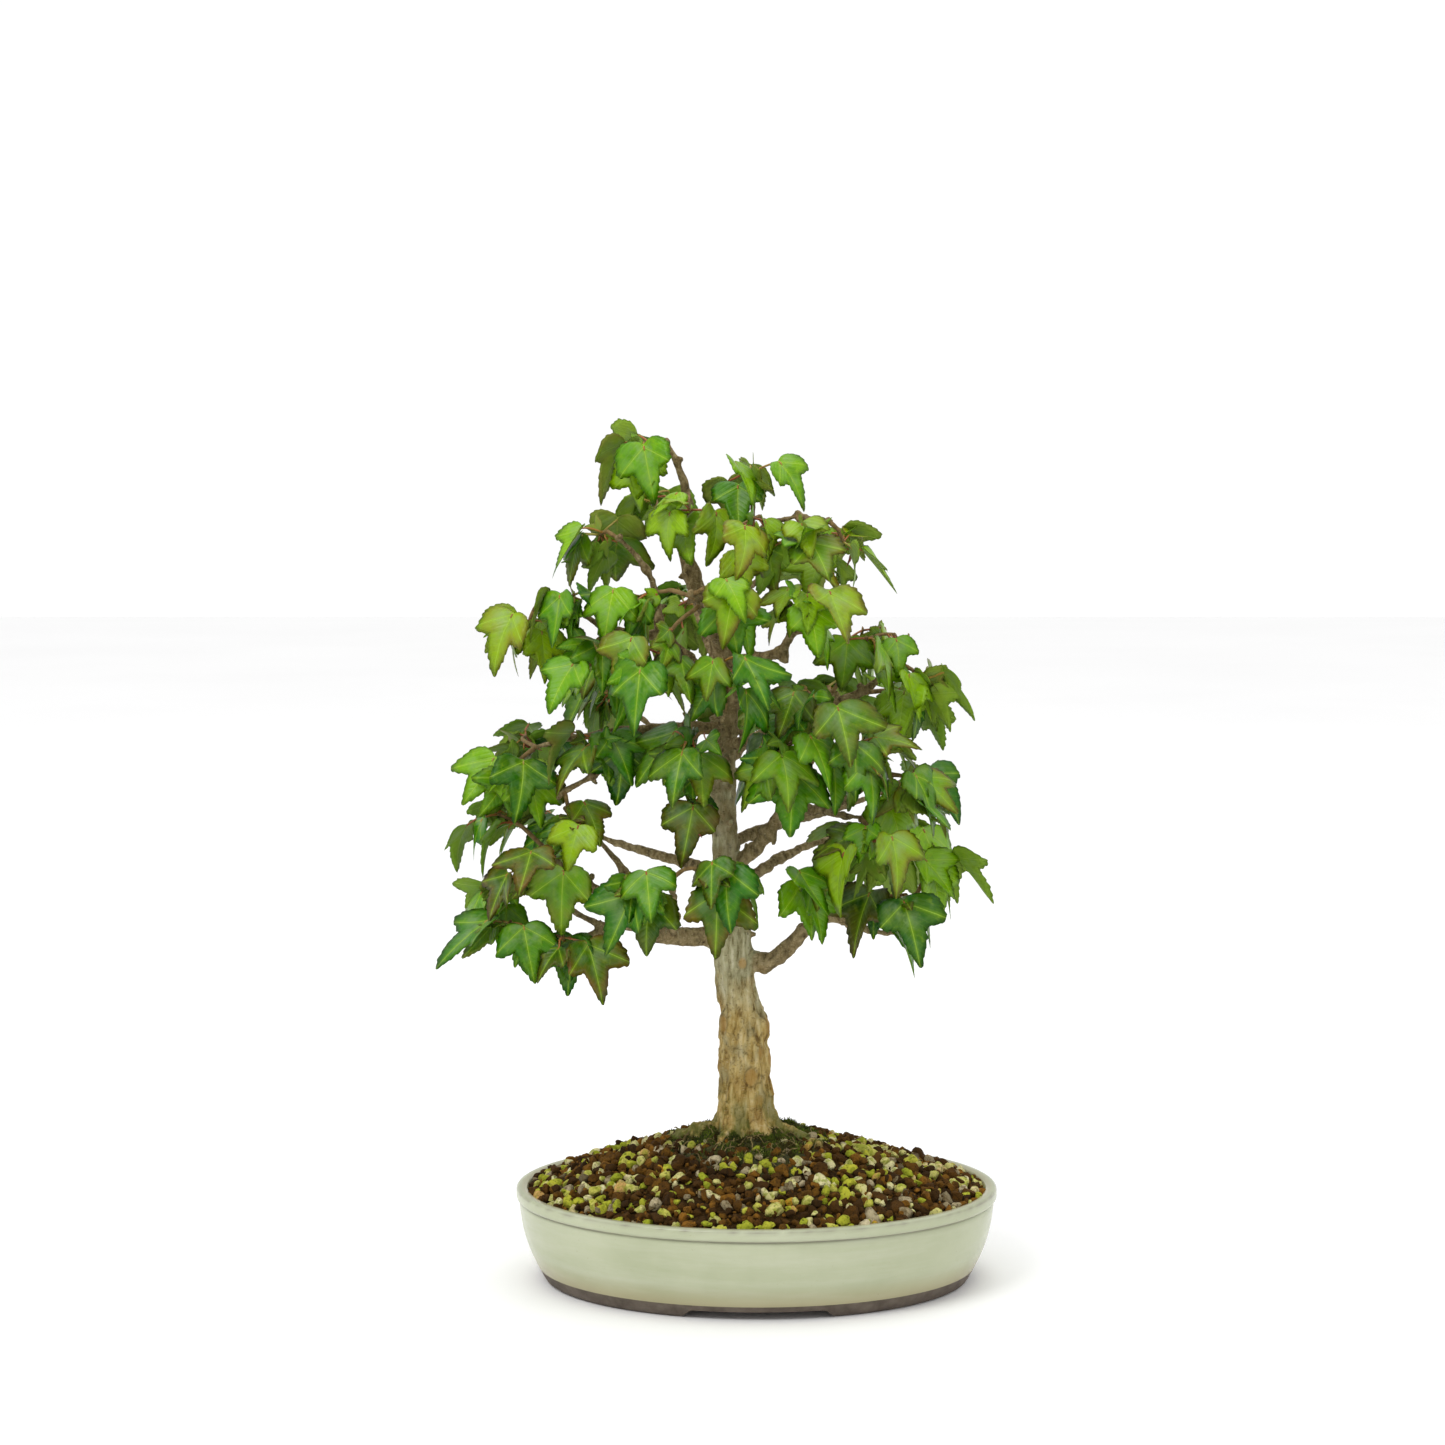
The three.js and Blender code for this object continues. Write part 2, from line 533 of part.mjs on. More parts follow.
// Places along the limbs a twig could grow from, nearest to its end first.
function startsNear(place) {
  const starts = [];
  for (const [name, bar] of Object.entries(bars)) {
    if (name.startsWith("root")) continue;
    const from = name === "trunk" ? 0.4 : 0.25;
    for (let k = 0; k <= 40; k++) {
      const t = from + (0.98 - from) * (k / 40);
      const at = bar.curve.getPointAt(t);
      starts.push({ length: at.distanceTo(place), at, heading: bar.curve.getTangentAt(t) });
    }
  }
  return starts.sort((a, b) => a.length - b.length);
}

// A twig from a start on a limb to a place, along the limb and then up. It begins just off the bark.
function twigFrom({ at, heading }, place) {
  const run = place.clone().sub(at);
  run.setLength(Math.max(run.length(), SHORTEST_TWIG));
  const end = at.clone().add(run);
  const middle = at
    .clone()
    .addScaledVector(run, 0.5)
    .addScaledVector(heading, run.length() * 0.16)
    .add(vec(0, 0, run.length() * 0.06));
  const whole = new THREE.CatmullRomCurve3([at, middle, end], false, "centripetal");
  for (let t = 0; t < 0.6; t += 0.25 / run.length()) {
    const points = [t, (t + 1) / 2, 1].map((u) => whole.getPointAt(u));
    const bar = (grow) =>
      taperedBar(points, [TWIG_RADIUS * 1.15, TWIG_RADIUS, TWIG_RADIUS * 0.9], { sides: 5, steps: 3, grow });
    const { curve, solid } = bar(0);
    if (solid.intersect(woodGrown).volume() < 1e-6) return { curve, solid, wide: bar(GAP).solid };
  }
  return null;
}

// The shortest twig to a place that clears the twigs already there.
function twigOf(place, others) {
  for (const start of startsNear(place).slice(0, 60)) {
    const twig = twigFrom(start, place);
    if (twig && !meets(twig.wide, bounds(twig.wide), others)) return twig;
  }
  throw new Error("no room for a twig");
}

// A flat three-lobed leaf with its tip along "along" and its upper side to "up", all in one skin with
// a square stalk that runs from its root to the blade's base. Grow thickens it on every side.
function leafSolid({ root, base, along, up, size }, grow = 0) {
  const across = along.clone().cross(up);
  const length = size + 2 * grow;
  const half = LEAF_HALF.map(([a, b]) => [a * length, b * length]);
  const outline = [...half, [0, length], ...half.map(([a, b]) => [-a, b]).reverse()];
  const n = outline.length;
  const face = (share, lift) =>
    outline.map(([a, b]) =>
      base
        .clone()
        .addScaledVector(across, a * (a * a > 1 ? share : 1) + Math.sign(a) * grow)
        .addScaledVector(along, b * share - grow)
        .addScaledVector(up, lift),
    );
  const thick = LEAF_THICKNESS / 2 + grow;
  const points = [...face(LEAF_BEVEL, -thick), ...face(1, thick)];
  const baseRing = [n - 1, 0, n, 2 * n - 1];
  const rootRing = baseRing.map((_, i) => 2 * n + i);
  baseRing.forEach((k) => points.push(points[k].clone().sub(base).multiplyScalar(0.6).add(root)));
  const flat = outline.map(([a, b]) => new THREE.Vector2(a, b));
  const index = [];
  for (const [a, b, c] of THREE.ShapeUtils.triangulateShape(flat, [])) {
    index.push(c, b, a, a + n, b + n, c + n);
  }
  for (let s = 0; s + 1 < n; s++) index.push(s, s + 1, s + 1 + n, s, s + 1 + n, s + n);
  for (let s = 0; s < 4; s++) {
    const [a, b] = [baseRing[s], baseRing[(s + 1) % 4]];
    const [c, d] = [rootRing[s], rootRing[(s + 1) % 4]];
    index.push(a, b, d, a, d, c);
  }
  const [e, f, g, h] = rootRing;
  index.push(e, f, g, e, g, h);
  const geometry = new THREE.BufferGeometry().setFromPoints(points);
  geometry.setIndex(index);
  return solidOf(geometry);
}

const bounds = (solid) => {
  const { min, max } = solid.boundingBox();
  return new THREE.Box3(vec(...min), vec(...max));
};

const meets = (solid, box, others) =>
  others.some((other) => box.intersectsBox(other.box) && solid.intersect(other.solid).volume() > 1e-6);

const placed = (solid) => ({ solid, box: bounds(solid) });

// One try at a leaf on a twig: its stalk springs from the twig and its blade hangs outwards.
function leafTry(twig, share, turn, seed, again) {
  const root = twig.curve.getPointAt(share);
  const heading = twig.curve.getTangentAt(share);
  const side = vec(0, 0, 1).cross(heading).normalize();
  const over = heading.clone().cross(side);
  const angle = turn + spread(seed, 0.3) + spread(seed + 7, Math.min(again * 0.08, 2.2));
  const size = LEAF_LENGTH * (1.06 + spread(seed + 1, 0.16) - Math.min(again, 30) * 0.013);
  const stalk = side.multiplyScalar(Math.cos(angle)).addScaledVector(over, Math.sin(angle));
  const upright = Math.abs(heading.z); // stalks on an upright twig stand straight out from it
  stalk.multiplyScalar(0.85).addScaledVector(heading, 0.6 - 0.5 * upright);
  stalk.add(vec(0, 0, 0.18 * (1 - upright))).normalize();
  const base = root.clone().addScaledVector(stalk, size * (STALK_SHARE + spread(seed + 2, 0.12)));
  const outwards = base.clone().sub(trunkMiddle(base.z)).setZ(0).normalize();
  outwards.multiplyScalar(0.75).add(vec(stalk.x, stalk.y, 0).multiplyScalar(0.75)).normalize();
  outwards.applyAxisAngle(vec(0, 0, 1), spread(seed + 3, 0.5));
  const droop = 1.06 + spread(seed + 4, 0.38);
  const along = outwards.clone().multiplyScalar(Math.cos(droop)).setZ(-Math.sin(droop));
  const up = outwards.multiplyScalar(Math.sin(droop)).setZ(Math.cos(droop));
  up.applyAxisAngle(along, spread(seed + 5, 0.4));
  return { root, base, along, up, size, share };
}

// A leaf's stalk must leave its blade's base away from the blade, or the skin would fold on itself.
const unfolded = ({ root, base, along }) => root.clone().sub(base).normalize().dot(along) < -0.15;

// Puts count leaves in opposite pairs on a twig, each where it clears the wood and other shoots.
function leavesOf(twig, count, seed, others) {
  const own = [];
  const nodes = Math.ceil(count / 2);
  for (let k = 0; k < count; k++) {
    const node = Math.floor(k / 2);
    const share = nodes > 1 ? THREE.MathUtils.lerp(0.97, 0.42, node / (nodes - 1)) : 0.97;
    const turn = (k % 2) * Math.PI + (node % 2) * (Math.PI / 2);
    for (let again = 0; again < TRIES; again++) {
      const leaf = leafTry(twig, share, turn, seed * 97 + k * 17 + again * 1009, again);
      if (!unfolded(leaf)) continue;
      const solid = leafSolid(leaf);
      if (solid.intersect(twig.solid).volume() < 0.1) continue;
      const clear = leaf.root.clone().lerp(leaf.base, 0.35); // the room test leaves out the stalk's root
      const wide = leafSolid({ ...leaf, root: clear }, GAP);
      const box = bounds(wide);
      if (meets(wide, box, [...others, ...own, placed(twig.solid)])) continue;
      if (meets(solid, bounds(solid), others)) continue;
      own.push(placed(solid));
      break;
    }
  }
  return own;
}

function shootSolids() {
  const twigs = {};
  const taken = [placed(wood)];
  for (const [name, row] of Object.entries(SHOOTS)) {
    twigs[name] = twigOf(placeOf(row), Object.values(twigs).map((twig) => placed(twig.solid)));
  }
  const names = Object.keys(twigs);
  const shoots = {};
  names.forEach((name, i) => {
    const twig = twigs[name];
    const rest = names.filter((other) => other !== name).map((other) => placed(twigs[other].solid));
    const own = leavesOf(twig, SHOOTS[name][3], i + 1, [...taken, ...rest]);
    taken.push(...own);
    shoots[name] = joined([twig.solid, ...own.map((leaf) => leaf.solid)]);
  });
  return shoots;
}

// ---------------------------------------------------------------- the whole
const part = new THREE.Group();
part.name = "trident_maple_bonsai";
const add = (name, solid, material) => part.add(meshOf(name, solid, material));

add("pot", potSolid(), glaze);
for (const [side, x] of Object.entries(drains)) {
  add("drain_screen_" + side, screenSolid(x), plasticMesh);
  add("screen_clip_" + side, clipSolid(x), bareWire);
}
const clipTop = SCREEN_TOP + 2 * GAP + 2 * CLIP_RADIUS + 0.4;
const screenRoom = (x) => box(SCREEN_SIDE + 2 * GAP, SCREEN_SIDE + 2 * GAP, 8, x, 0, clipTop - 4);
const soilCuts = Object.values(drains).map(screenRoom);
add("soil_bed", soilBody().subtract(joined([...soilCuts, woodGrown])), soilMix);
add("trunk_and_limbs", wood, bark);
const mossCut = soilBody(GAP).add(woodGrown);
add("moss_front", mossCushion(-95, -20, 8, 44).subtract(mossCut), mossGreen);
add("moss_right", mossCushion(-12, 40, 8, 40).subtract(mossCut), mossGreen);

for (const [name, solid] of Object.entries(shootSolids())) add("shoot_" + name, solid, leafGreen);

// Centre the footprint on the origin.
const whole = new THREE.Box3().setFromObject(part);
part.position.set(-(whole.min.x + whole.max.x) / 2, -(whole.min.y + whole.max.y) / 2, -whole.min.z);

export default part;
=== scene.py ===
"""Looks of a trident maple bonsai in an oval glazed pot. Lengths are in metres, +Z up, front at -Y.

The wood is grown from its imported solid. Each shoot's packed leaves give the place, the heading and
the size of its modelled leaves. The soil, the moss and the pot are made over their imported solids.
"""

import math

import bmesh
import bpy
import numpy as np
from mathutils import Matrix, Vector, noise
from mathutils.bvhtree import BVHTree


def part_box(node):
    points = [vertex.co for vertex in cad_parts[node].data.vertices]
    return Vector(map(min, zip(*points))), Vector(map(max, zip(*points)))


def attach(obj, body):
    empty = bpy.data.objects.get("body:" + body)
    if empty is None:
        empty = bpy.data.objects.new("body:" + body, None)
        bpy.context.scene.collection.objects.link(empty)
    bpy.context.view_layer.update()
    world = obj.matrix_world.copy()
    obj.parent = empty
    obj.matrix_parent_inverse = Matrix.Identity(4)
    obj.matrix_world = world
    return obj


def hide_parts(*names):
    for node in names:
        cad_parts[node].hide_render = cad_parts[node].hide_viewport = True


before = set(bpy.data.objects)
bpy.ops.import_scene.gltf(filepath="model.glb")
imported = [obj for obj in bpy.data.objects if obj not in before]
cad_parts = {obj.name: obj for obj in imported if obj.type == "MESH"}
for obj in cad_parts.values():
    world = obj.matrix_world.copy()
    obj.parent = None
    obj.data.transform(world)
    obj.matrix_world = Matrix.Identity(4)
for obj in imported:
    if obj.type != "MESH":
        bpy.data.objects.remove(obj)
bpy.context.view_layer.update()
MM = 0.001

# ---------------------------------------------------------------- driving dimensions
LENS = 82.8
CAMERA_FROM_POT = (-17.7 * MM, -1700 * MM, 462 * MM)
CAMERA_DIP = 5.76  # degrees below level

RIM_HEIGHT = 6.2 * MM
RIM_PROUD = 1.3 * MM
WALL = 6 * MM
FLOOR = 6 * MM
WALL_BULGE = 3.2 * MM
TAPER = 14 * MM
FOOT_HEIGHT = 4.5 * MM
FOOT_WIDTH = 12 * MM
ARCH_TOP = 66 * MM
ARCH_BOTTOM = 77 * MM
DRAIN_RADIUS = 10 * MM
DRAIN_FROM_MIDDLE = 56 * MM
GLAZE_LINE = 7.4 * MM  # the glaze stops this far above the ground
LIP_ROUND = 1.6 * MM
POT_SIDES = 192

CRUMB_SIDES = 6
# The soil's layers, the coarsest first: the granules' smallest and largest radius, how many places
# are tried, the least spacing in radii, each one's flat sides, and how far out of the bed its middle
# stands, also in radii.
GRANULES = [
    ((2.4 * MM, 4.3 * MM), 6000, 1.45, 9, (-0.1, 0.35)),
    ((1.7 * MM, 2.8 * MM), 2200, 1.9, 8, (0.4, 1.1)),
    ((0.7 * MM, 1.4 * MM), 2600, 1.6, CRUMB_SIDES, (0.3, 1.4)),
]
CUSHION_FRONDS = 1000  # on each moss cushion
DROP_FROM = 200 * MM  # above all the soil and moss
MOSS_REACH = 52 * MM  # how far the moss round the trunk goes
ROOTLETS = 90
STUBS = 170  # pruned stubs on the limbs

BARK_VOXEL = 0.95 * MM
FLAKES_END = 105 * MM  # the bark flakes up to this far above the soil
LEAF_THICKNESS = 0.4 * MM
LEAF_ROUND = 112  # steps round a leaf's edge
LEAF_RINGS = 4  # steps from its stalk to its edge
TOOTH = 4  # steps of the edge in one tooth
SIDE_VEINS = 9.0  # in one length of a leaf
SPARE_LEAVES = 7  # small leaves to try on each shoot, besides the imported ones
WITHERED_SHARE = 0.06  # of the small leaves

# How near its leaf's edge each point of a leaf is: upper face, under face, then the edge itself.
FACE_RINGS = np.append([0], np.repeat(np.arange(1, LEAF_RINGS) / LEAF_RINGS, LEAF_ROUND))
LEAF_MARGIN = np.concatenate([FACE_RINGS, FACE_RINGS, np.ones(LEAF_ROUND)])

# A leaf's edge: degrees off the middle lobe, and the distance from the stalk for a leaf of length 1.
LEAF_EDGE = [
    (0, 1.0), (3, 0.95), (8, 0.83), (14, 0.71), (20, 0.61), (25, 0.545), (29, 0.53), (35, 0.58),
    (42, 0.67), (48, 0.745), (53, 0.75), (60, 0.66), (70, 0.57), (82, 0.5), (96, 0.4), (110, 0.3),
    (124, 0.2), (142, 0.11), (162, 0.06), (180, 0.05),
]  # fmt: skip

# Marks on the trunk: way round it in degrees from the right, height above the ground, radius, how
# far the mark bulges, and how deep its healed middle is, in millimetres.
TRUNK_MARKS = [
    (-73, 107, 4.6, 0.8, 0.8),
    (-62, 95, 2.8, 0.6, 0.4),
    (-146, 134, 4.6, 1.5, 0.8),
    (-46, 120, 3.0, 0.9, 0.4),
    (-12, 133, 5.5, 2.4, 0.0),
    (-8, 115, 4.6, 2.6, 0.0),
    (-12, 98, 4.5, 1.3, 0.0),
    (-170, 112, 5.0, 0.6, 0.0),
    (-115, 166, 3.0, 0.6, 0.3),
    (75, 125, 5.0, 1.6, 0.8),
    (150, 150, 6.0, 2.0, 0.3),
]

# Roots on the surface: way out in degrees from the right, how far they reach and their thickness.
SURFACE_ROOTS = [
    (-160, 38, 4.2), (-120, 27, 2.1), (-94, 28, 2.5), (-62, 29, 1.9), (-24, 44, 5.0), (18, 31, 2.6),
    (55, 28, 2.4), (100, 34, 3.2), (150, 33, 2.8), (-178, 28, 2.0),
]  # fmt: skip

pot_low, pot_high = (np.array(corner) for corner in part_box("pot"))
POT_MIDDLE = (pot_low + pot_high) / 2
HALF_LENGTH, HALF_DEPTH = ((pot_high - pot_low) / 2)[:2]
POT_TOP = pot_high[2]
SOIL_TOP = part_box("soil_bed")[1][2]
TREE_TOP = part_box("trunk_and_limbs")[1][2]
TRUNK_FOOT = np.array([POT_MIDDLE[0] - 6 * MM, POT_MIDDLE[1] + 3 * MM, SOIL_TOP])


# ---------------------------------------------------------------- colours and nodes
def linear(code):
    """The linear colour of an sRGB hex value."""
    parts = [int(code[i : i + 2], 16) / 255 for i in (1, 3, 5)]
    return [c / 12.92 if c <= 0.04045 else ((c + 0.055) / 1.055) ** 2.4 for c in parts] + [1.0]


def add(tree, kind, inputs=None, out=0, stops=(), **settings):
    """Adds a shader node and gives back one of its outputs.

    inputs are its sockets' sources or values, settings its own properties, and stops the places
    and colours of a colour ramp.
    """
    made = tree.nodes.new("ShaderNode" + kind)
    for name, value in settings.items():
        setattr(made, name, value)
    for name, value in (inputs or {}).items():
        if isinstance(value, bpy.types.NodeSocket):
            tree.links.new(value, made.inputs[name])
        else:
            made.inputs[name].default_value = linear(value) if isinstance(value, str) else value
    for number, (place, colour) in enumerate(stops):
        ramp = made.color_ramp.elements
        element = ramp[number] if number < 2 else ramp.new(place)
        element.position = place
        element.color = linear(colour)
    return made.outputs[out]


def finish(name, **sockets):
    """A new material, its node tree and its shader, with some of the shader's sockets set."""
    material = bpy.data.materials.new(name)
    material.use_nodes = True
    shader = material.node_tree.nodes["Principled BSDF"]
    for key, value in sockets.items():
        socket = shader.inputs[key.replace("_", " ")]
        socket.default_value = linear(value) if isinstance(value, str) else value
    return material, material.node_tree, shader


def mottle(tree, size, low=0.0, high=1.0, share=1.0, detail=4.0, stretch=(1, 1, 1)):
    """Soft blotches about size across: 0 below low, and share above high."""
    place = add(tree, "Mapping", {"Vector": add(tree, "TexCoord", out="Object"), "Scale": stretch})
    lumps = add(tree, "TexNoise", {"Vector": place, "Scale": 1 / size, "Detail": detail, "Roughness": 0.6})
    return add(tree, "MapRange", {0: lumps, 1: low, 2: high, 4: share})


def layered(tree, body, *layers):
    """Colours laid one over another: each layer is how much of it shows, and its colour."""
    for share, colour in layers:
        body = add(tree, "Mix", {0: share, 6: body, 7: colour}, out=2, data_type="RGBA")
    return body


def dress(tree, shader, body, height=None, rise=0.0, strength=1.0):
    """Gives a shader its colour, and a surface raised by rise where height is 1."""
    tree.links.new(body, shader.inputs["Base Color"])
    if height is not None:
        raised = add(tree, "Bump", {"Height": height, "Distance": rise, "Strength": strength})
        tree.links.new(raised, shader.inputs["Normal"])


def kept(tree, name, channel="Red"):
    """One channel of a colour that is kept on the mesh."""
    colour = add(tree, "Attribute", out="Color", attribute_name=name)
    return add(tree, "SeparateColor", {"Color": colour}, out=channel)


def level(tree):
    """The height of a point of the surface above the ground."""
    return add(tree, "SeparateXYZ", {"Vector": add(tree, "TexCoord", out="Object")}, out="Z")


# ---------------------------------------------------------------- materials
def celadon_glaze():
    """Celadon glaze, fired: milky grey-green, buff where it runs thin near the foot and the edges."""
    material, tree, shader = finish("celadon_glaze_fired", Roughness=0.22, IOR=1.5)
    streaks = mottle(tree, 30 * MM, detail=5, stretch=(0.35, 0.35, 3.0))
    milky = add(tree, "MapRange", {0: streaks, 1: 0.45, 2: 0.75, 3: 0, 4: 0.5})
    thin = add(tree, "MapRange", {0: level(tree), 1: 5 * MM, 2: 19 * MM, 3: 0.8, 4: 0})
    inside = add(tree, "Math", {0: kept(tree, "edge", "Green"), 1: 0.5}, operation="MULTIPLY")
    body = layered(
        tree,
        add(tree, "ValToRGB", {0: mottle(tree, 45 * MM)}, stops=[(0.3, "#a9af8e"), (0.7, "#b6bb9c")]),
        (milky, "#c6c9b2"),
        (thin, "#a3946a"),
        (inside, "#a59a78"),
        (mottle(tree, 1.3 * MM, 0.7, 0.76, 0.3, 2), "#8c7c58"),
        (kept(tree, "edge"), "#7d756c"),
    )
    dress(tree, shader, body, streaks, 0.25 * MM, 0.4)
    return material


def patchy(name, stops, patch, grain, rise, strength=1.0, detail=4.0, **sockets):
    """A stuff in patches of a few tones, with a finer grain that stands up by rise."""
    material, tree, shader = finish(name, **sockets)
    body = add(tree, "ValToRGB", {0: mottle(tree, patch)}, stops=stops)
    dress(tree, shader, body, mottle(tree, grain, detail=detail), rise, strength)
    return material


def granules(name, stops, dust, patch=0.6, shine=0.2):
    """Sifted granules: each has its own shade, with patches of another colour and painted shade in the
    pits.
    """
    material, tree, shader = finish(name, Roughness=0.95, Specular_IOR_Level=shine)
    pits = mottle(tree, 1.5 * MM, detail=3)
    body = layered(
        tree,
        add(tree, "ValToRGB", {0: kept(tree, "shade")}, stops=stops),
        (mottle(tree, 3.2 * MM, 0.47, 0.6, patch), dust),
        # painted shade: the dents of the bump are darkened nearly to black
        (add(tree, "MapRange", {0: pits, 1: 0.3, 2: 0.45, 3: 0.65, 4: 0}), "#1c1204"),
    )
    dress(tree, shader, body, pits, 0.9 * MM)
    return material


def living_moss(name, dark, pale):
    """Living moss: short soft fronds, dark below and yellow-green at the tips, with brown litter."""
    material, tree, shader = finish(name, Roughness=0.85, Specular_IOR_Level=0.2)
    body = layered(
        tree,
        dark,
        (kept(tree, "shade"), pale),
        (mottle(tree, 5 * MM, 0.5, 0.7, 0.4), pale),
        (mottle(tree, 8 * MM, 0.5, 0.58, 0.75), "#38280f"),
    )
    dress(tree, shader, body)
    return material


def maple_bark():
    """Trident maple bark: tan and flaking low down, smooth grey-green above, brown on old limbs."""
    material, tree, shader = finish("trident_maple_bark", Roughness=0.85, Specular_IOR_Level=0.25)
    streaks = mottle(tree, 3.0 * MM, detail=7, stretch=(1, 1, 0.22))
    patches = mottle(tree, 13 * MM, stretch=(1, 1, 0.6))
    flakes = mottle(tree, 2.6 * MM, detail=6, stretch=(1, 1, 0.6))
    tones = (
        (streaks, [(0.34, "#6a4f1f"), (0.44, "#a78b4c"), (0.56, "#c2aa6c"), (0.72, "#d8c79a")]),
        (streaks, [(0.34, "#6b623e"), (0.48, "#a19c78"), (0.66, "#c4bfa0")]),
        (streaks, [(0.33, "#463d24"), (0.52, "#776b44"), (0.72, "#9a8f67")]),
        (flakes, [(0.33, "#4d3e22"), (0.5, "#7c6a46"), (0.68, "#a08e69")]),
    )
    old, young, upper, limbs = (add(tree, "ValToRGB", {0: over}, stops=stops) for over, stops in tones)
    waves = add(tree, "MapRange", {0: patches, 1: 0, 2: 1, 3: -34 * MM, 4: 34 * MM})
    high = add(tree, "Math", {0: level(tree), 1: waves}, operation="ADD")
    foot = add(tree, "MapRange", {0: high, 1: SOIL_TOP - 2 * MM, 2: SOIL_TOP + 36 * MM, 3: 1, 4: 0})
    mossy = add(tree, "MapRange", {0: patches, 1: 0.45, 2: 0.56})
    body = layered(
        tree,
        old,
        (add(tree, "MapRange", {0: patches, 1: 0.52, 2: 0.68, 3: 0, 4: 0.7}), "#8f8a66"),
        (add(tree, "MapRange", {0: high, 1: SOIL_TOP + 55 * MM, 2: SOIL_TOP + 84 * MM}), young),
        (add(tree, "MapRange", {0: patches, 1: 0.3, 2: 0.42, 3: 0.45, 4: 0}), "#8d6d3a"),
        (add(tree, "MapRange", {0: high, 1: SOIL_TOP + 165 * MM, 2: SOIL_TOP + 230 * MM}), upper),
        (kept(tree, "wood"), limbs),
        (mottle(tree, 1.1 * MM, 0.6, 0.72, 0.55, 2, (0.5, 0.5, 2.2)), "#c3b58c"),
        (mottle(tree, 1.4 * MM, 0.6, 0.7, 0.6, 3, (0.7, 0.7, 1.5)), "#4d3c1c"),
        (add(tree, "MapRange", {0: flakes, 1: 0.3, 2: 0.4, 3: 0.55, 4: 0}), "#3a2c14"),
        (kept(tree, "wood", "Blue"), "#a9803f"),
        (kept(tree, "wood", "Green"), "#4a3413"),
        (add(tree, "Math", {0: foot, 1: mossy}, operation="MULTIPLY"), "#4c5a14"),
    )
    dress(tree, shader, body, add(tree, "Math", {0: streaks, 1: flakes}, operation="ADD"), 1.0 * MM)
    return material


def leaf_stalks():
    """Maple leaf stalks: waxy, from orange-red to yellow-green."""
    material, tree, shader = finish("maple_leaf_stalks", Roughness=0.45)
    stops = [(0, "#8a4222"), (0.5, "#a8652c"), (1, "#9c9440")]
    body = add(tree, "ValToRGB", {0: kept(tree, "shade")}, stops=stops)
    dress(tree, shader, layered(tree, body, (mottle(tree, 6 * MM, 0.5, 0.7, 0.5), "#6f7f2c")))
    return material


def leaf_veins(tree):
    """A leaf's three main veins, the paler band along them, and the spaces between its side veins."""
    split = add(tree, "SeparateXYZ", {"Vector": add(tree, "UVMap", uv_map="LeafPlane")}).node.outputs
    across = add(tree, "Math", {0: split["X"]}, operation="ABSOLUTE")
    width = add(tree, "MapRange", {0: split["Y"], 1: 0, 2: 1, 3: 0.0065, 4: 0.002})
    midrib = add(tree, "Math", {0: across, 1: width}, operation="DIVIDE")
    toward = add(tree, "Math", {0: across, 1: 0.629}, operation="MULTIPLY")
    lean = add(tree, "Math", {0: split["Y"], 1: -0.777, 2: toward}, operation="MULTIPLY_ADD")
    off_lobe = add(tree, "Math", {0: lean}, operation="ABSOLUTE")
    lobe = add(tree, "Math", {0: off_lobe, 1: 0.0035}, operation="DIVIDE")
    near = add(tree, "Math", {0: midrib, 1: lobe}, operation="MINIMUM")
    rise = add(tree, "Math", {0: across, 1: -0.85, 2: split["Y"]}, operation="MULTIPLY_ADD")
    turns = add(tree, "Math", {0: rise, 1: SIDE_VEINS}, operation="MULTIPLY")
    part = add(tree, "Math", {0: turns}, operation="FRACT")
    phase = add(tree, "Math", {0: part, 1: 0.5}, operation="SUBTRACT")
    line = add(tree, "MapRange", {0: near, 1: 0.5, 2: 2.6, 3: 1, 4: 0})
    halo = add(tree, "MapRange", {0: near, 1: 2, 2: 13, 3: 0.3, 4: 0})
    return line, halo, add(tree, "Math", {0: phase}, operation="ABSOLUTE")


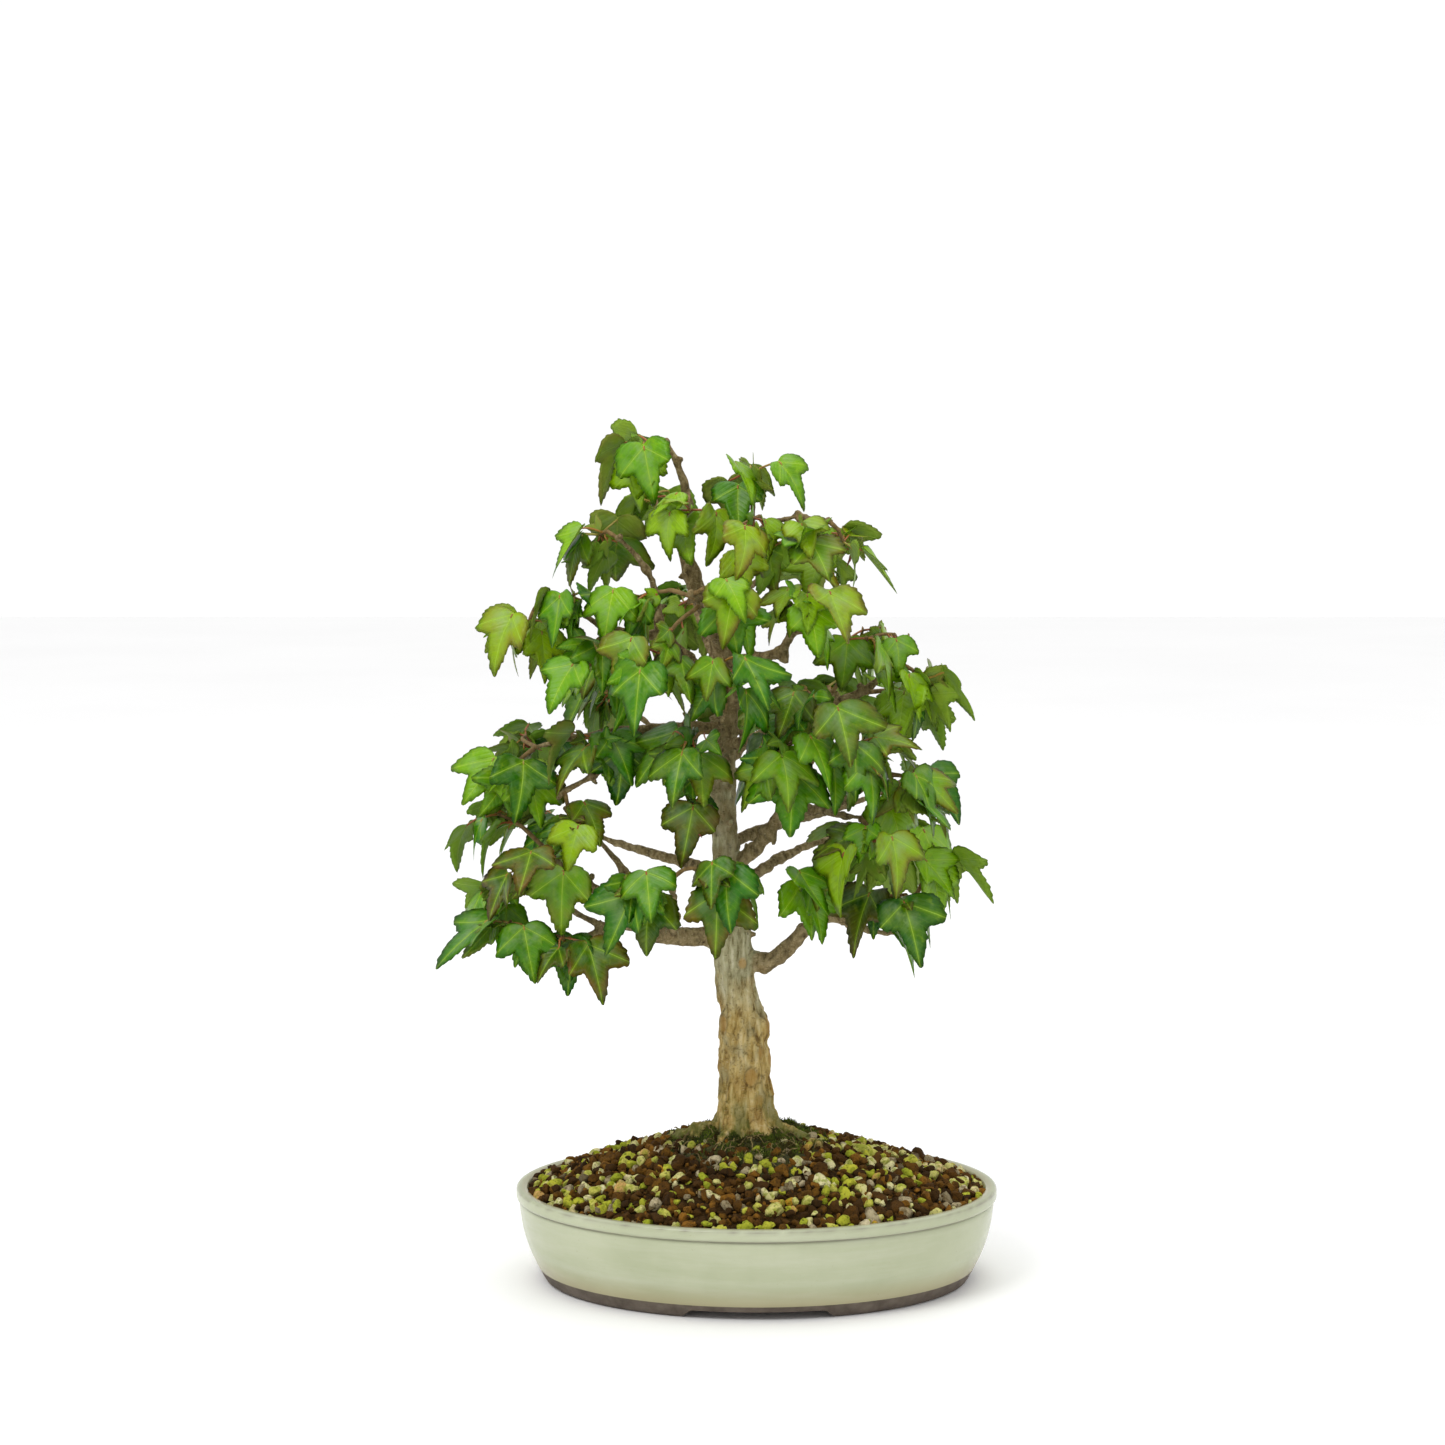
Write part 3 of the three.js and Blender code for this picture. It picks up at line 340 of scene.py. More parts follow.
def leaf_face(name, stops, bronze, vein, rough, shine, shown):
    """A face of a mature leaf: waxy, quilted between pale veins, with a painted sheen. Each leaf has its
    own tone.
    """
    material, tree, shader = finish(name, Roughness=rough, IOR=1.45, Specular_IOR_Level=shine)
    main, halo, off = leaf_veins(tree)
    margin = kept(tree, "shade", "Blue")
    clouds = mottle(tree, 14 * MM)
    cloudy = add(tree, "MapRange", {0: clouds, 1: 0.35, 2: 0.62, 3: 0.3, 4: 1})
    tinge = add(tree, "Math", {0: kept(tree, "shade", "Green"), 1: cloudy}, operation="MULTIPLY")
    outer = add(tree, "MapRange", {0: margin, 1: 0.3, 2: 1, 3: 0.25, 4: 1})
    middle = add(tree, "MapRange", {0: margin, 1: 0.35, 2: 0.85, 3: 0.42, 4: 0})
    # painted sheen: pale grey-green patches over each leaf's middle stand in for the reflection of the
    # light
    painted_sheen = add(tree, "Math", {0: mottle(tree, 11 * MM, 0.44, 0.6), 1: middle}, operation="MULTIPLY")
    body = layered(
        tree,
        add(tree, "ValToRGB", {0: kept(tree, "shade")}, stops=stops),
        (add(tree, "MapRange", {0: clouds, 1: 0.42, 2: 0.7, 3: 0, 4: 0.16}), stops[-1][1]),
        (mottle(tree, 6 * MM, 0.52, 0.68, 0.3), stops[0][1]),
        (mottle(tree, 4.2 * MM, 0.56, 0.7, 0.18), stops[-1][1]),
        (add(tree, "MapRange", {0: margin, 1: 0.65, 2: 1, 3: 0, 4: 0.35}), stops[0][1]),
        (painted_sheen, "#86a070"),
        (add(tree, "Math", {0: tinge, 1: outer}, operation="MULTIPLY"), bronze),
        (halo, stops[-2][1]),
        (add(tree, "MapRange", {0: off, 1: 0.02, 2: 0.1, 3: 0.06, 4: 0}), vein),
        (add(tree, "Math", {0: main, 1: shown}, operation="MULTIPLY"), vein),
    )
    spaces = add(tree, "MapRange", {0: off, 1: 0, 2: 0.3})
    quilt = add(tree, "Math", {0: spaces, 1: main}, operation="SUBTRACT")
    height = add(tree, "Math", {0: mottle(tree, 2.5 * MM), 1: 0.8, 2: quilt}, operation="MULTIPLY_ADD")
    dress(tree, shader, body, height, 0.14 * MM, 0.7)
    return material


def withered_face():
    """A leaf that has died on the twig: red-brown, dry and papery."""
    material, tree, shader = finish("maple_leaf_withered", Roughness=0.75)
    main, _, off = leaf_veins(tree)
    body = add(tree, "ValToRGB", {0: mottle(tree, 5 * MM)}, stops=[(0.3, "#6d3324"), (0.7, "#a05a3c")])
    dress(tree, shader, layered(tree, body, (main, "#b98055")), off, 0.4 * MM, 0.8)
    return material


def studio_paper():
    """Seamless paper: plain matt white."""
    material, tree, shader = finish("seamless_paper_white", Roughness=0.9)
    body = add(tree, "ValToRGB", {0: mottle(tree, 0.5)}, stops=[(0.3, "#fafafa"), (0.7, "#fdfdfd")])
    dress(tree, shader, body)
    return material


GLAZE = celadon_glaze()
# Stoneware clay without glaze at the foot: grey-brown, matt and a little gritty.
BARE_CLAY = patchy(
    "stoneware_clay_bare", [(0.3, "#4d4339"), (0.7, "#6d6256")],
    9 * MM, 0.9 * MM, 0.2 * MM, 0.6, 2, Roughness=0.8,
)  # fmt: skip
AKADAMA = granules(
    "akadama_clay_baked", [(0, "#2a1a04"), (0.5, "#52350c"), (0.85, "#6c4a12"), (1, "#8c5f1c")], "#3c2708"
)
PUMICE = granules(
    "pumice_algae_tinted",
    [(0, "#929c24"), (0.35, "#bab83a"), (0.6, "#cac478"), (0.85, "#dad2a2"), (1, "#bf861f")],
    "#8a9424",
    0.75,
)
GRIT = granules(
    "granite_grit_crushed", [(0, "#5c523c"), (0.5, "#9a8c6c"), (1, "#c9bc98")], "#5a4826", 0.7, 0.2
)
# Crushed granules and dust, watered in between the lumps: dark and matt.
FINES = patchy(
    "akadama_fines_damp", [(0.3, "#1c1104"), (0.7, "#46300f")],
    2.2 * MM, 2.2 * MM, 1.2 * MM, Roughness=0.95, Specular_IOR_Level=0.15,
)  # fmt: skip
MOSS = living_moss("moss_fronds_bright", "#26380a", "#66831a")
MOSS_DARK = living_moss("moss_fronds_shaded", "#1f2a08", "#5d6c1c")
# The thick of a moss cushion between its fronds: dark green and knobbly.
MOSS_BASE = patchy(
    "moss_cushion_base", [(0.35, "#1d1a05"), (0.5, "#373709"), (0.75, "#56541a")],
    1.5 * MM, 1.5 * MM, 1.5 * MM, Roughness=0.95,
)  # fmt: skip
# Fine feeder roots, dried on the surface: straw-coloured and fibrous.
ROOTS = patchy(
    "feeder_roots_dry", [(0.3, "#56481f"), (0.7, "#978452")], 5 * MM, 1 * MM, 0.2 * MM, Roughness=0.85
)
BARK = maple_bark()
# Young maple wood: thin red-brown bark under a grey bloom.
TWIG = patchy(
    "maple_twig_bark", [(0.3, "#54401f"), (0.7, "#8d7446")],
    3 * MM, 0.9 * MM, 0.3 * MM, 0.6, Roughness=0.7, Specular_IOR_Level=0.3,
)  # fmt: skip
STALK = leaf_stalks()
LEAF_TOP = leaf_face(
    "maple_leaf_upper_waxy",
    [(0, "#0f4400"), (0.3, "#2c6a00"), (0.6, "#5a9400"), (0.85, "#8ab400"), (1, "#aac60e")],
    "#763d1c", "#9cbc3c", 0.36, 0.28, 0.65,
)  # fmt: skip
LEAF_UNDER = leaf_face(
    "maple_leaf_underside_matt",
    [(0, "#4a7314"), (0.5, "#6c931e"), (1, "#93ad30")],
    "#755c30", "#a3b553", 0.6, 0.25, 0.6,
)  # fmt: skip
WITHERED = withered_face()
# Polythene mesh, moulded: dull black, paler where dust lies.
SCREEN = patchy(
    "polythene_mesh_moulded", [(0.3, "#232523"), (0.7, "#3a3d39")], 6 * MM, 1 * MM, 0.1 * MM, Roughness=0.6
)
# Aluminium wire, drawn and anodised: satin brown, dulled by damp.
WIRE = patchy(
    "aluminium_wire_anodised", [(0.3, "#6e6152"), (0.7, "#97897a")],
    4 * MM, 1 * MM, 0.05 * MM, Metallic=1.0, Roughness=0.42,
)  # fmt: skip
PAPER = studio_paper()


# ---------------------------------------------------------------- meshes
def mesh_piece(name, points, faces, materials, slots=None, smooth=True):
    """A mesh object from points and faces, with a material number for each face if slots are given."""
    mesh = bpy.data.meshes.new(name)
    mesh.from_pydata(np.asarray(points).tolist(), [], faces)
    for material in materials:
        mesh.materials.append(material)
    if slots is not None:
        mesh.polygons.foreach_set("material_index", np.asarray(slots, dtype=np.int32))
    mesh.polygons.foreach_set("use_smooth", np.full(len(mesh.polygons), smooth))
    mesh.update()
    made = bpy.data.objects.new(name, mesh)
    bpy.context.collection.objects.link(made)
    return made


def keep_colour(mesh, name, values):
    """Keeps three numbers from 0 to 1 on each point of a mesh."""
    layer = mesh.attributes.new(name, "FLOAT_COLOR", "POINT")
    full = np.ones((len(mesh.vertices), 4))
    full[:, :3] = values
    layer.data.foreach_set("color", full.ravel())


def settle(made, slot, *replaced):
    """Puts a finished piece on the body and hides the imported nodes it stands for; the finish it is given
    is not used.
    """
    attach(made, "root")
    if replaced:
        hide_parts(*replaced)


def applied(made):
    """Replaces an object's mesh with what its modifiers make of it."""
    graph = bpy.context.evaluated_depsgraph_get()
    mesh = bpy.data.meshes.new_from_object(made.evaluated_get(graph))
    made.modifiers.clear()
    made.data = mesh
    return made


def vectors_of(mesh, kind="co"):
    """A mesh's points, or its point normals, as rows of x, y, z."""
    flat = np.empty(len(mesh.vertices) * 3)
    mesh.vertices.foreach_get(kind, flat)
    return flat.reshape(-1, 3)


def surface_of(*nodes):
    """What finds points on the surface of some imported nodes."""
    points, faces = [], []
    for node in nodes:
        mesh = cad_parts[node].data
        start = len(points)
        points += [v.co.copy() for v in mesh.vertices]
        faces += [[start + k for k in p.vertices] for p in mesh.polygons]
    return BVHTree.FromPolygons(points, faces)


def dropped(surface, x, y):
    """Where a line straight down at x, y meets a surface, and which way the surface faces there."""
    return surface.ray_cast(Vector((x, y, DROP_FROM)), Vector((0, 0, -1)))[:2]


def unit(vector):
    """A vector of the same heading and length 1."""
    vector = np.asarray(vector, dtype=float)
    return vector / max(np.linalg.norm(vector), 1e-12)


def curve_through(points, count):
    """count points on a smooth line through some points."""
    points = np.asarray(points, dtype=float)
    padded = np.vstack([2 * points[0] - points[1], points, 2 * points[-1] - points[-2]])
    line = []
    for t in np.linspace(0, len(points) - 1, count):
        k = min(int(t), len(points) - 2)
        f = t - k
        a, b, c, d = padded[k : k + 4]
        bend = (2 * a - 5 * b + 4 * c - d) * f**2 + (3 * b - a - 3 * c + d) * f**3
        line.append(0.5 * (2 * b + (c - a) * f + bend))
    return np.array(line)


def tube(line, radii, sides):
    """Points and faces of a round tube along a line, closed at both ends."""
    line = np.asarray(line)
    radii = np.broadcast_to(radii, len(line))
    headings = np.gradient(line, axis=0)
    side = unit(np.cross(headings[0], [0.31, 0.17, 0.93]))
    turns = np.linspace(0, 2 * np.pi, sides, endpoint=False)[:, None]
    points = []
    for at, heading, radius in zip(line, headings, radii):
        heading = unit(heading)
        side = unit(side - heading * (side @ heading))
        other = np.cross(heading, side)
        points.append(at + radius * (np.cos(turns) * side + np.sin(turns) * other))
    faces = [list(range(sides))[::-1]]
    for ring in range(len(line) - 1):
        for s in range(sides):
            a, b = ring * sides + s, ring * sides + (s + 1) % sides
            faces.append([a, b, b + sides, a + sides])
    last = (len(line) - 1) * sides
    faces.append(list(range(last, last + sides)))
    return np.vstack(points), faces


class Heap:
    """Many small meshes gathered into one, with a shade for each."""

    def __init__(self):
        self.points, self.faces, self.shades, self.slots = [], [], [], []
        self.size = 0

    def put(self, points, faces, shade, slot=0):
        """Takes one more mesh in."""
        self.points.append(points)
        self.faces += [[self.size + k for k in face] for face in faces]
        self.slots += [slot] * len(faces)
        self.shades.append(np.broadcast_to(shade, (len(points), 3)))
        self.size += len(points)

    def piece(self, name, materials, smooth=True):
        """Makes the object."""
        made = mesh_piece(name, np.vstack(self.points), self.faces, materials, self.slots, smooth)
        keep_colour(made.data, "shade", np.vstack(self.shades))
        return made


# ---------------------------------------------------------------- pot
def wall_inset(z):
    """How far the outer wall stands inside the rim's outer edge at height z."""
    share = z / (POT_TOP - RIM_HEIGHT)
    return RIM_PROUD + TAPER * (1 - share) - WALL_BULGE * math.sin(math.pi * min(share, 1))


def inner_inset(z):
    """How far the inside of the wall stands inside the rim's outer edge at height z."""
    floor_top = FOOT_HEIGHT + FLOOR
    share = (z - floor_top) / (POT_TOP - floor_top)
    return wall_inset(z) + WALL + 6 * MM * (1 - share) ** 6


def oval_loft(rows, sides=POT_SIDES):
    """Points and faces of a closed skin over ovals: each row is [inset from the rim, height]."""
    turns = np.linspace(0, 2 * np.pi, sides, endpoint=False)
    points = []
    for inset, z in rows:
        x = POT_MIDDLE[0] + (HALF_LENGTH - inset) * np.cos(turns)
        y = POT_MIDDLE[1] + (HALF_DEPTH - inset) * np.sin(turns)
        points.append(np.stack([x, y, np.full(sides, z)], axis=1))
    faces = [list(range(sides))[::-1]]
    for ring in range(len(rows) - 1):
        for s in range(sides):
            a, b = ring * sides + s, ring * sides + (s + 1) % sides
            faces.append([a, b, b + sides, a + sides])
    last = (len(rows) - 1) * sides
    faces.append(list(range(last, last + sides)))
    return np.vstack(points), faces


def cut(made, cutter):
    """Takes one solid out of another."""
    step = made.modifiers.new("cut", "BOOLEAN")
    step.object = cutter
    step.operation = "DIFFERENCE"
    step.solver = "EXACT"
    applied(made)
    bpy.data.objects.remove(cutter)


def make_pot():
    """The pot in one skin: foot ring, bulging wall, banded rim, rounded lip and hollow inside."""
    band = POT_TOP - RIM_HEIGHT
    floor_top = FOOT_HEIGHT + FLOOR
    heights = np.linspace(FOOT_HEIGHT + 0.4 * MM, band - 1.2 * MM, 15)
    lip = [math.radians(angle) for angle in (0, 22, 45, 68, 90)]
    lip_low = POT_TOP - 1.5 * MM
    rows = [
        [wall_inset(0) + FOOT_WIDTH, FOOT_HEIGHT],
        [wall_inset(0) + FOOT_WIDTH, 0.5 * MM],
        [wall_inset(0) + FOOT_WIDTH - 0.5 * MM, 0],
        [wall_inset(0) + 1.6 * MM, 0],
        [wall_inset(0) + 0.9 * MM, 0.3 * MM],
        [wall_inset(1 * MM) + 0.2 * MM, 1 * MM],
        [wall_inset(3 * MM), 3 * MM],
        *[[wall_inset(z), z] for z in heights],
        [wall_inset(band - 0.6 * MM) + 0.5 * MM, band - 0.6 * MM],
        [wall_inset(band) + 0.7 * MM, band - 0.1 * MM],
        [0.9 * MM, band + 0.2 * MM],
        [0.3 * MM, band + 0.6 * MM],
        [0, band + 1.4 * MM],
        [0, (band + POT_TOP) / 2],
        *[[LIP_ROUND * (1 - math.cos(a)), POT_TOP - LIP_ROUND * (1 - math.sin(a))] for a in lip],
        [3.4 * MM, POT_TOP - 0.05 * MM],
        *[[WALL - LIP_ROUND * (1 - math.sin(a)), lip_low + 1.4 * MM * math.cos(a)] for a in lip[1:]],
        *[[inner_inset(z), z] for z in np.linspace(POT_TOP - 4 * MM, floor_top, 12)],
    ]
    points, faces = oval_loft(rows)
    made = mesh_piece("glazed_pot", points, faces, [GLAZE, BARE_CLAY])
    turns = np.linspace(0, 2 * np.pi, 48, endpoint=False)
    for side in (-1, 1):
        x = POT_MIDDLE[0] + side * DRAIN_FROM_MIDDLE
        line = [[x, POT_MIDDLE[1], z] for z in (-2 * MM, floor_top + 2 * MM)]
        hole, hole_faces = tube(line, DRAIN_RADIUS, len(turns))
        cut(made, mesh_piece("drain", hole, hole_faces, []))
    shape = [
        (-ARCH_BOTTOM / 2 - 1 * MM, -1 * MM),
        (ARCH_BOTTOM / 2 + 1 * MM, -1 * MM),
        (ARCH_BOTTOM / 2, 0),
        (ARCH_TOP / 2 + 1.2 * MM, FOOT_HEIGHT - 0.5 * MM),
        (ARCH_TOP / 2, FOOT_HEIGHT),
        (-ARCH_TOP / 2, FOOT_HEIGHT),
        (-ARCH_TOP / 2 - 1.2 * MM, FOOT_HEIGHT - 0.5 * MM),
        (-ARCH_BOTTOM / 2, 0),
    ]
    ends = [
        [(POT_MIDDLE[0] + x, POT_MIDDLE[1] + y, z) for x, z in shape] for y in (-HALF_DEPTH, HALF_DEPTH)
    ]
    count = len(shape)
    arch_faces = [list(range(count)), list(range(count, 2 * count))[::-1]]
    for s in range(count):
        arch_faces.append([s, s + count, (s + 1) % count + count, (s + 1) % count])
    cut(made, mesh_piece("arch", ends[0] + ends[1], arch_faces, []))

    mesh = made.data
    at = vectors_of(mesh)
    out = np.hypot((at[:, 0] - POT_MIDDLE[0]) / HALF_LENGTH, (at[:, 1] - POT_MIDDLE[1]) / HALF_DEPTH)
    inset = (1 - out) * HALF_DEPTH
    high = at[:, 2]
    ragged = np.array([0.5 + noise.noise(Vector(p) / (6 * MM)) for p in at])
    fading = np.clip([0.75 + 1.2 * noise.noise(Vector(p) / (40 * MM)) for p in at], 0.25, 1)
    top_line = np.clip(1 - np.abs(high - POT_TOP + 0.9 * MM) / (1.1 * MM), 0, 1) * (inset < 1.6 * MM)
    band_line = np.clip(1 - np.abs(high - band) / (0.9 * MM), 0, 1) * (inset < 5 * MM)
    edge = np.clip(0.75 * top_line * ragged + 0.85 * band_line * fading, 0, 1)
    inside = ((inset > 2.6 * MM) & (high > band - 10 * MM)).astype(float)
    keep_colour(mesh, "edge", np.stack([edge, inside, np.zeros(len(at))], axis=1))
    slots = [int(p.center.z < GLAZE_LINE) for p in mesh.polygons]
    mesh.polygons.foreach_set("material_index", slots)
    mesh.polygons.foreach_set("use_smooth", np.full(len(slots), True))
    mesh.set_sharp_from_angle(angle=math.radians(50))
    settle(made, "glazed_stoneware", "pot")


# ---------------------------------------------------------------- soil
def rock(random, corners=9):
    """A granule of radius 1: a ball cut flat by some planes, longer one way, a little rough."""
    points, faces = ROUND_GRAIN if corners > CRUMB_SIDES else SMALL_GRAIN
    planes = random.normal(size=(corners, 3))
    planes /= np.linalg.norm(planes, axis=1)[:, None]
    depths = random.uniform(0.45, 0.9, corners)
    reach = np.ones(len(points)) * 1.08
    for plane, depth in zip(planes, depths):
        facing = points @ plane
        reach = np.where(facing > 0.05, np.minimum(reach, depth / np.maximum(facing, 0.05)), reach)
    rough = 1 + random.normal(0, 0.03, len(points))
    return points * (reach * rough)[:, None] * random.uniform(0.75, 1.35, 3), faces


def ball(subdivisions):
    """Points and faces of a ball of radius 1."""
    shape = bmesh.new()
    bmesh.ops.create_icosphere(shape, subdivisions=subdivisions, radius=1)
    points = np.array([v.co[:] for v in shape.verts])
    faces = [[v.index for v in f.verts] for f in shape.faces]
    shape.free()
    return points, faces


ROUND_GRAIN = ball(3)
SMALL_GRAIN = ball(2)


def turned(points, random):
    """Points turned any way at random."""
    q = unit(random.normal(size=4))
    w, x, y, z = q
    matrix = np.array(
        [
            [1 - 2 * (y * y + z * z), 2 * (x * y - w * z), 2 * (x * z + w * y)],
            [2 * (x * y + w * z), 1 - 2 * (x * x + z * z), 2 * (y * z - w * x)],
            [2 * (x * z - w * y), 2 * (y * z + w * x), 1 - 2 * (x * x + y * y)],
        ]
    )
    return points @ matrix.T


def make_soil():
    """Lumps of akadama, pumice and grit over the damp fines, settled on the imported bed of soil."""
    random = np.random.default_rng(5)
    bed = surface_of("soil_bed")
    wood = surface_of("trunk_and_limbs")
    rim = inner_inset(POT_TOP - 3 * MM)
    heaps = {name: Heap() for name in ("akadama_front", "akadama_back", "pumice", "grit", "fines")}
    for radii, tries, spacing, corners, rise in GRANULES:
        placed = np.zeros((0, 3))
        for _ in range(tries):
            turn, out = random.uniform(0, 2 * math.pi), math.sqrt(random.uniform(0, 1))
            x = POT_MIDDLE[0] + (HALF_LENGTH - rim - radii[0] * 0.6) * out * math.cos(turn)
            y = POT_MIDDLE[1] + (HALF_DEPTH - rim - radii[0] * 0.6) * out * math.sin(turn)
            size = random.uniform(*radii)
            hit = dropped(bed, x, y)
            if hit[0] is None:
                continue
            at = np.array(hit[0]) + np.array(hit[1]) * size * random.uniform(*rise)
            if wood.find_nearest(Vector(at))[3] < size * 0.8:
                continue
            if len(placed):
                gaps = np.linalg.norm(placed[:, :2] - at[:2], axis=1)
                if gaps.min() < size * spacing:
                    continue
            placed = np.vstack([placed, at])
            points, faces = rock(random, corners)
            points = turned(points, random) * size + at
            draw = random.uniform() + 0.3 * noise.noise(Vector((x, y, 0)) / (16 * MM))
            tone = random.uniform()
            if corners <= CRUMB_SIDES:
                kind = "fines"
                tone = tone if draw < 0.75 else 0.9 + 0.1 * tone
            elif draw < 0.57:
                kind = "akadama_front" if y < POT_MIDDLE[1] else "akadama_back"
            elif draw < 0.93:
                kind = "pumice"
            else:
                kind = "grit"
            heaps[kind].put(points, faces, tone)
    finishes = {"pumice": PUMICE, "grit": GRIT}
    for name, heap in heaps.items():
        made = heap.piece("soil_" + name, [finishes.get(name, AKADAMA)])
        made.data.set_sharp_from_angle(angle=math.radians(38))
        settle(made, "granular_soil")


# ---------------------------------------------------------------- moss
def frond(random, at, up, length, radius):
    """One moss frond: a thin bent spike."""
    lean = unit(up + random.normal(0, 0.38, 3))
    tip = at + lean * length + random.normal(0, 0.25 * MM, 3)
    line = [at - lean * 0.3 * MM, at + lean * length * 0.5, tip]
    return tube(line, [radius, radius * 0.85, radius * 0.2], 4)


def scatter_fronds(heap, random, where, count, length, radius):
    """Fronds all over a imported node, standing out from its surface."""
    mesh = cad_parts[where].data
    mesh.calc_loop_triangles()
    corners = vectors_of(mesh)
    triangles = np.array([t.vertices[:] for t in mesh.loop_triangles])
    a, b, c = (corners[triangles[:, k]] for k in range(3))
    normals = np.cross(b - a, c - a)
    areas = np.linalg.norm(normals, axis=1) / 2
    facing = normals[:, 2] > 0.15 * areas
    weights = np.where(facing, areas, 0)
    for k in random.choice(len(areas), count, p=weights / weights.sum()):
        u, v = random.uniform(size=2)
        if u + v > 1:
            u, v = 1 - u, 1 - v
        at = a[k] + u * (b[k] - a[k]) + v * (c[k] - a[k])
        long = random.uniform(*length)
        points, faces = frond(random, at, unit(normals[k]), long, radius)
        heap.put(points, faces, random.uniform(0.1, 1))


def cushion_moss(random):
    """Fronds on the two moss cushions."""
    for node in ("moss_front", "moss_right"):
        heap = Heap()
        scatter_fronds(heap, random, node, CUSHION_FRONDS, (0.8 * MM, 2.8 * MM), 0.3 * MM)
        settle(heap.piece(node + "_fronds", [MOSS if node == "moss_right" else MOSS_DARK]), "moss")


def moss_mat(bed):
    """A thin, lumpy mat of moss on the soil round the trunk, and its surface."""
    mat_points, mat_faces = [], []
    around = np.linspace(0, 2 * math.pi, 120, endpoint=False)
    ways = np.linspace(5 * MM, MOSS_REACH, 30)
    for way in ways:
        for turn in around:
            ragged = 1 + 0.35 * noise.noise(Vector((math.cos(turn) * 1.6, math.sin(turn) * 1.6, 3.0)))
            out = way * ragged
            x, y = TRUNK_FOOT[0] + out * math.cos(turn), TRUNK_FOOT[1] + out * math.sin(turn) * 0.86
            ground = dropped(bed, x, y)[0].z
            spot = Vector((x, y, 0))
            thick = 4.6 - 9.5 * max(0.0, way / ways[-1] - 0.42) + 3.2 * noise.noise(spot / (7 * MM))
            thick += 1.5 * noise.noise(spot / (2.6 * MM)) + 0.6 * noise.noise(spot / (1.2 * MM))
            mat_points.append([x, y, ground + thick * MM])
    for ring in range(len(ways) - 1):
        for s in range(len(around)):
            a, b = ring * len(around) + s, ring * len(around) + (s + 1) % len(around)
            mat_faces.append([a, a + len(around), b + len(around), b])
    mat = mesh_piece("moss_mat", mat_points, mat_faces, [MOSS_BASE])
    thickness = mat.modifiers.new("thickness", "SOLIDIFY")
    thickness.thickness = 5 * MM
    thickness.offset = -1
    settle(applied(mat), "moss")
    return BVHTree.FromPolygons(mat_points, mat_faces)


def trunk_moss(random, bed, over):
    """Fronds on the mat where it is thick, more of them on the right."""
    growth = Heap()
    for _ in range(9000):
        turn, out = random.uniform(0, 2 * math.pi), random.uniform(9, 46) * MM
        x, y = TRUNK_FOOT[0] + out * math.cos(turn), TRUNK_FOOT[1] + out * math.sin(turn) * 0.86
        hit = dropped(over, x, y)
        ground = dropped(bed, x, y)
        if hit[0] is None or hit[0].z < ground[0].z + 1.2 * MM:
            continue
        tone = 0.3 + 1.1 * noise.noise(Vector((x, y, 2)) / (8 * MM)) + random.normal(0, 0.18)
        tone += 0.45 * max(0.0, math.cos(turn + 0.35)) ** 2
        if tone < 0.12:
            continue
        long = random.uniform(0.9, 2.4) * MM
        facing = unit(np.array(hit[1]) + [0, 0, 1.0])
        points, faces = frond(random, np.array(hit[0]), facing, long, 0.28 * MM)
        growth.put(points, faces, min(tone, 1))
    settle(growth.piece("moss_round_trunk", [MOSS_DARK]), "moss")


def rootlets(random, over):
    """Fine roots that wander over the mat."""
    threads = Heap()
    for _ in range(ROOTLETS):
        turn, out = random.uniform(0, 2 * math.pi), random.uniform(13, 40) * MM
        start = np.array([TRUNK_FOOT[0] + out * math.cos(turn), TRUNK_FOOT[1] + out * math.sin(turn), 0])
        heading = turn + random.uniform(-1.3, 1.3)
        line = []
        for _ in range(7):
            heading += random.normal(0, 0.35)
            stride = random.uniform(1.2, 3) * MM
            start = start + np.array([math.cos(heading), math.sin(heading), 0]) * stride
            hit = dropped(over, start[0], start[1])
            if hit[0] is None:
                break
            line.append(np.array(hit[0]) + np.array([0, 0, random.uniform(0, 2) * MM]))
        if len(line) < 4:
            continue
        points, faces = tube(curve_through(line, 14), random.uniform(0.15, 0.36) * MM, 5)
        threads.put(points, faces, random.uniform())
    settle(threads.piece("surface_rootlets", [ROOTS]), "maple_wood")


def make_moss():
    """Moss on its cushions and round the trunk, with fine roots over it."""
    random = np.random.default_rng(8)
    bed = surface_of("soil_bed")
    cushion_moss(random)
    over = moss_mat(bed)
    trunk_moss(random, bed, over)
    rootlets(random, over)


# ---------------------------------------------------------------- wood
def fbm(at, size, octaves=3):
    """Layered noise at a point, from about -1 to 1, whose lumps are about size across."""
    return noise.fractal(at / size, 0.6, 2.1, octaves)


def root_tubes(random):
    """The roots on the surface: each leaves the trunk's flare and dives into the soil."""
    bed = surface_of("soil_bed")
    heap = Heap()
    for way, reach, radius in SURFACE_ROOTS:
        heading = math.radians(way)
        line, radii = [], []
        for share in np.linspace(0.15, 1, 8):
            heading += random.normal(0, 0.1)
            x = TRUNK_FOOT[0] + math.cos(heading) * reach * share * MM
            y = TRUNK_FOOT[1] + math.sin(heading) * reach * share * MM * 0.9
            hit = dropped(bed, x, y)
            lift = 11 * max(0.0, 0.66 - share) ** 1.25 + 1.1 - 5.0 * max(0.0, share - 0.7)
            line.append([x, y, hit[0].z + lift * radius * MM])
            radii.append(radius * MM * (1.25 - 0.75 * share))
        heap.put(*tube(curve_through(line, 20), np.interp(np.linspace(0, 7, 20), range(8), radii), 10), 0)
    return heap


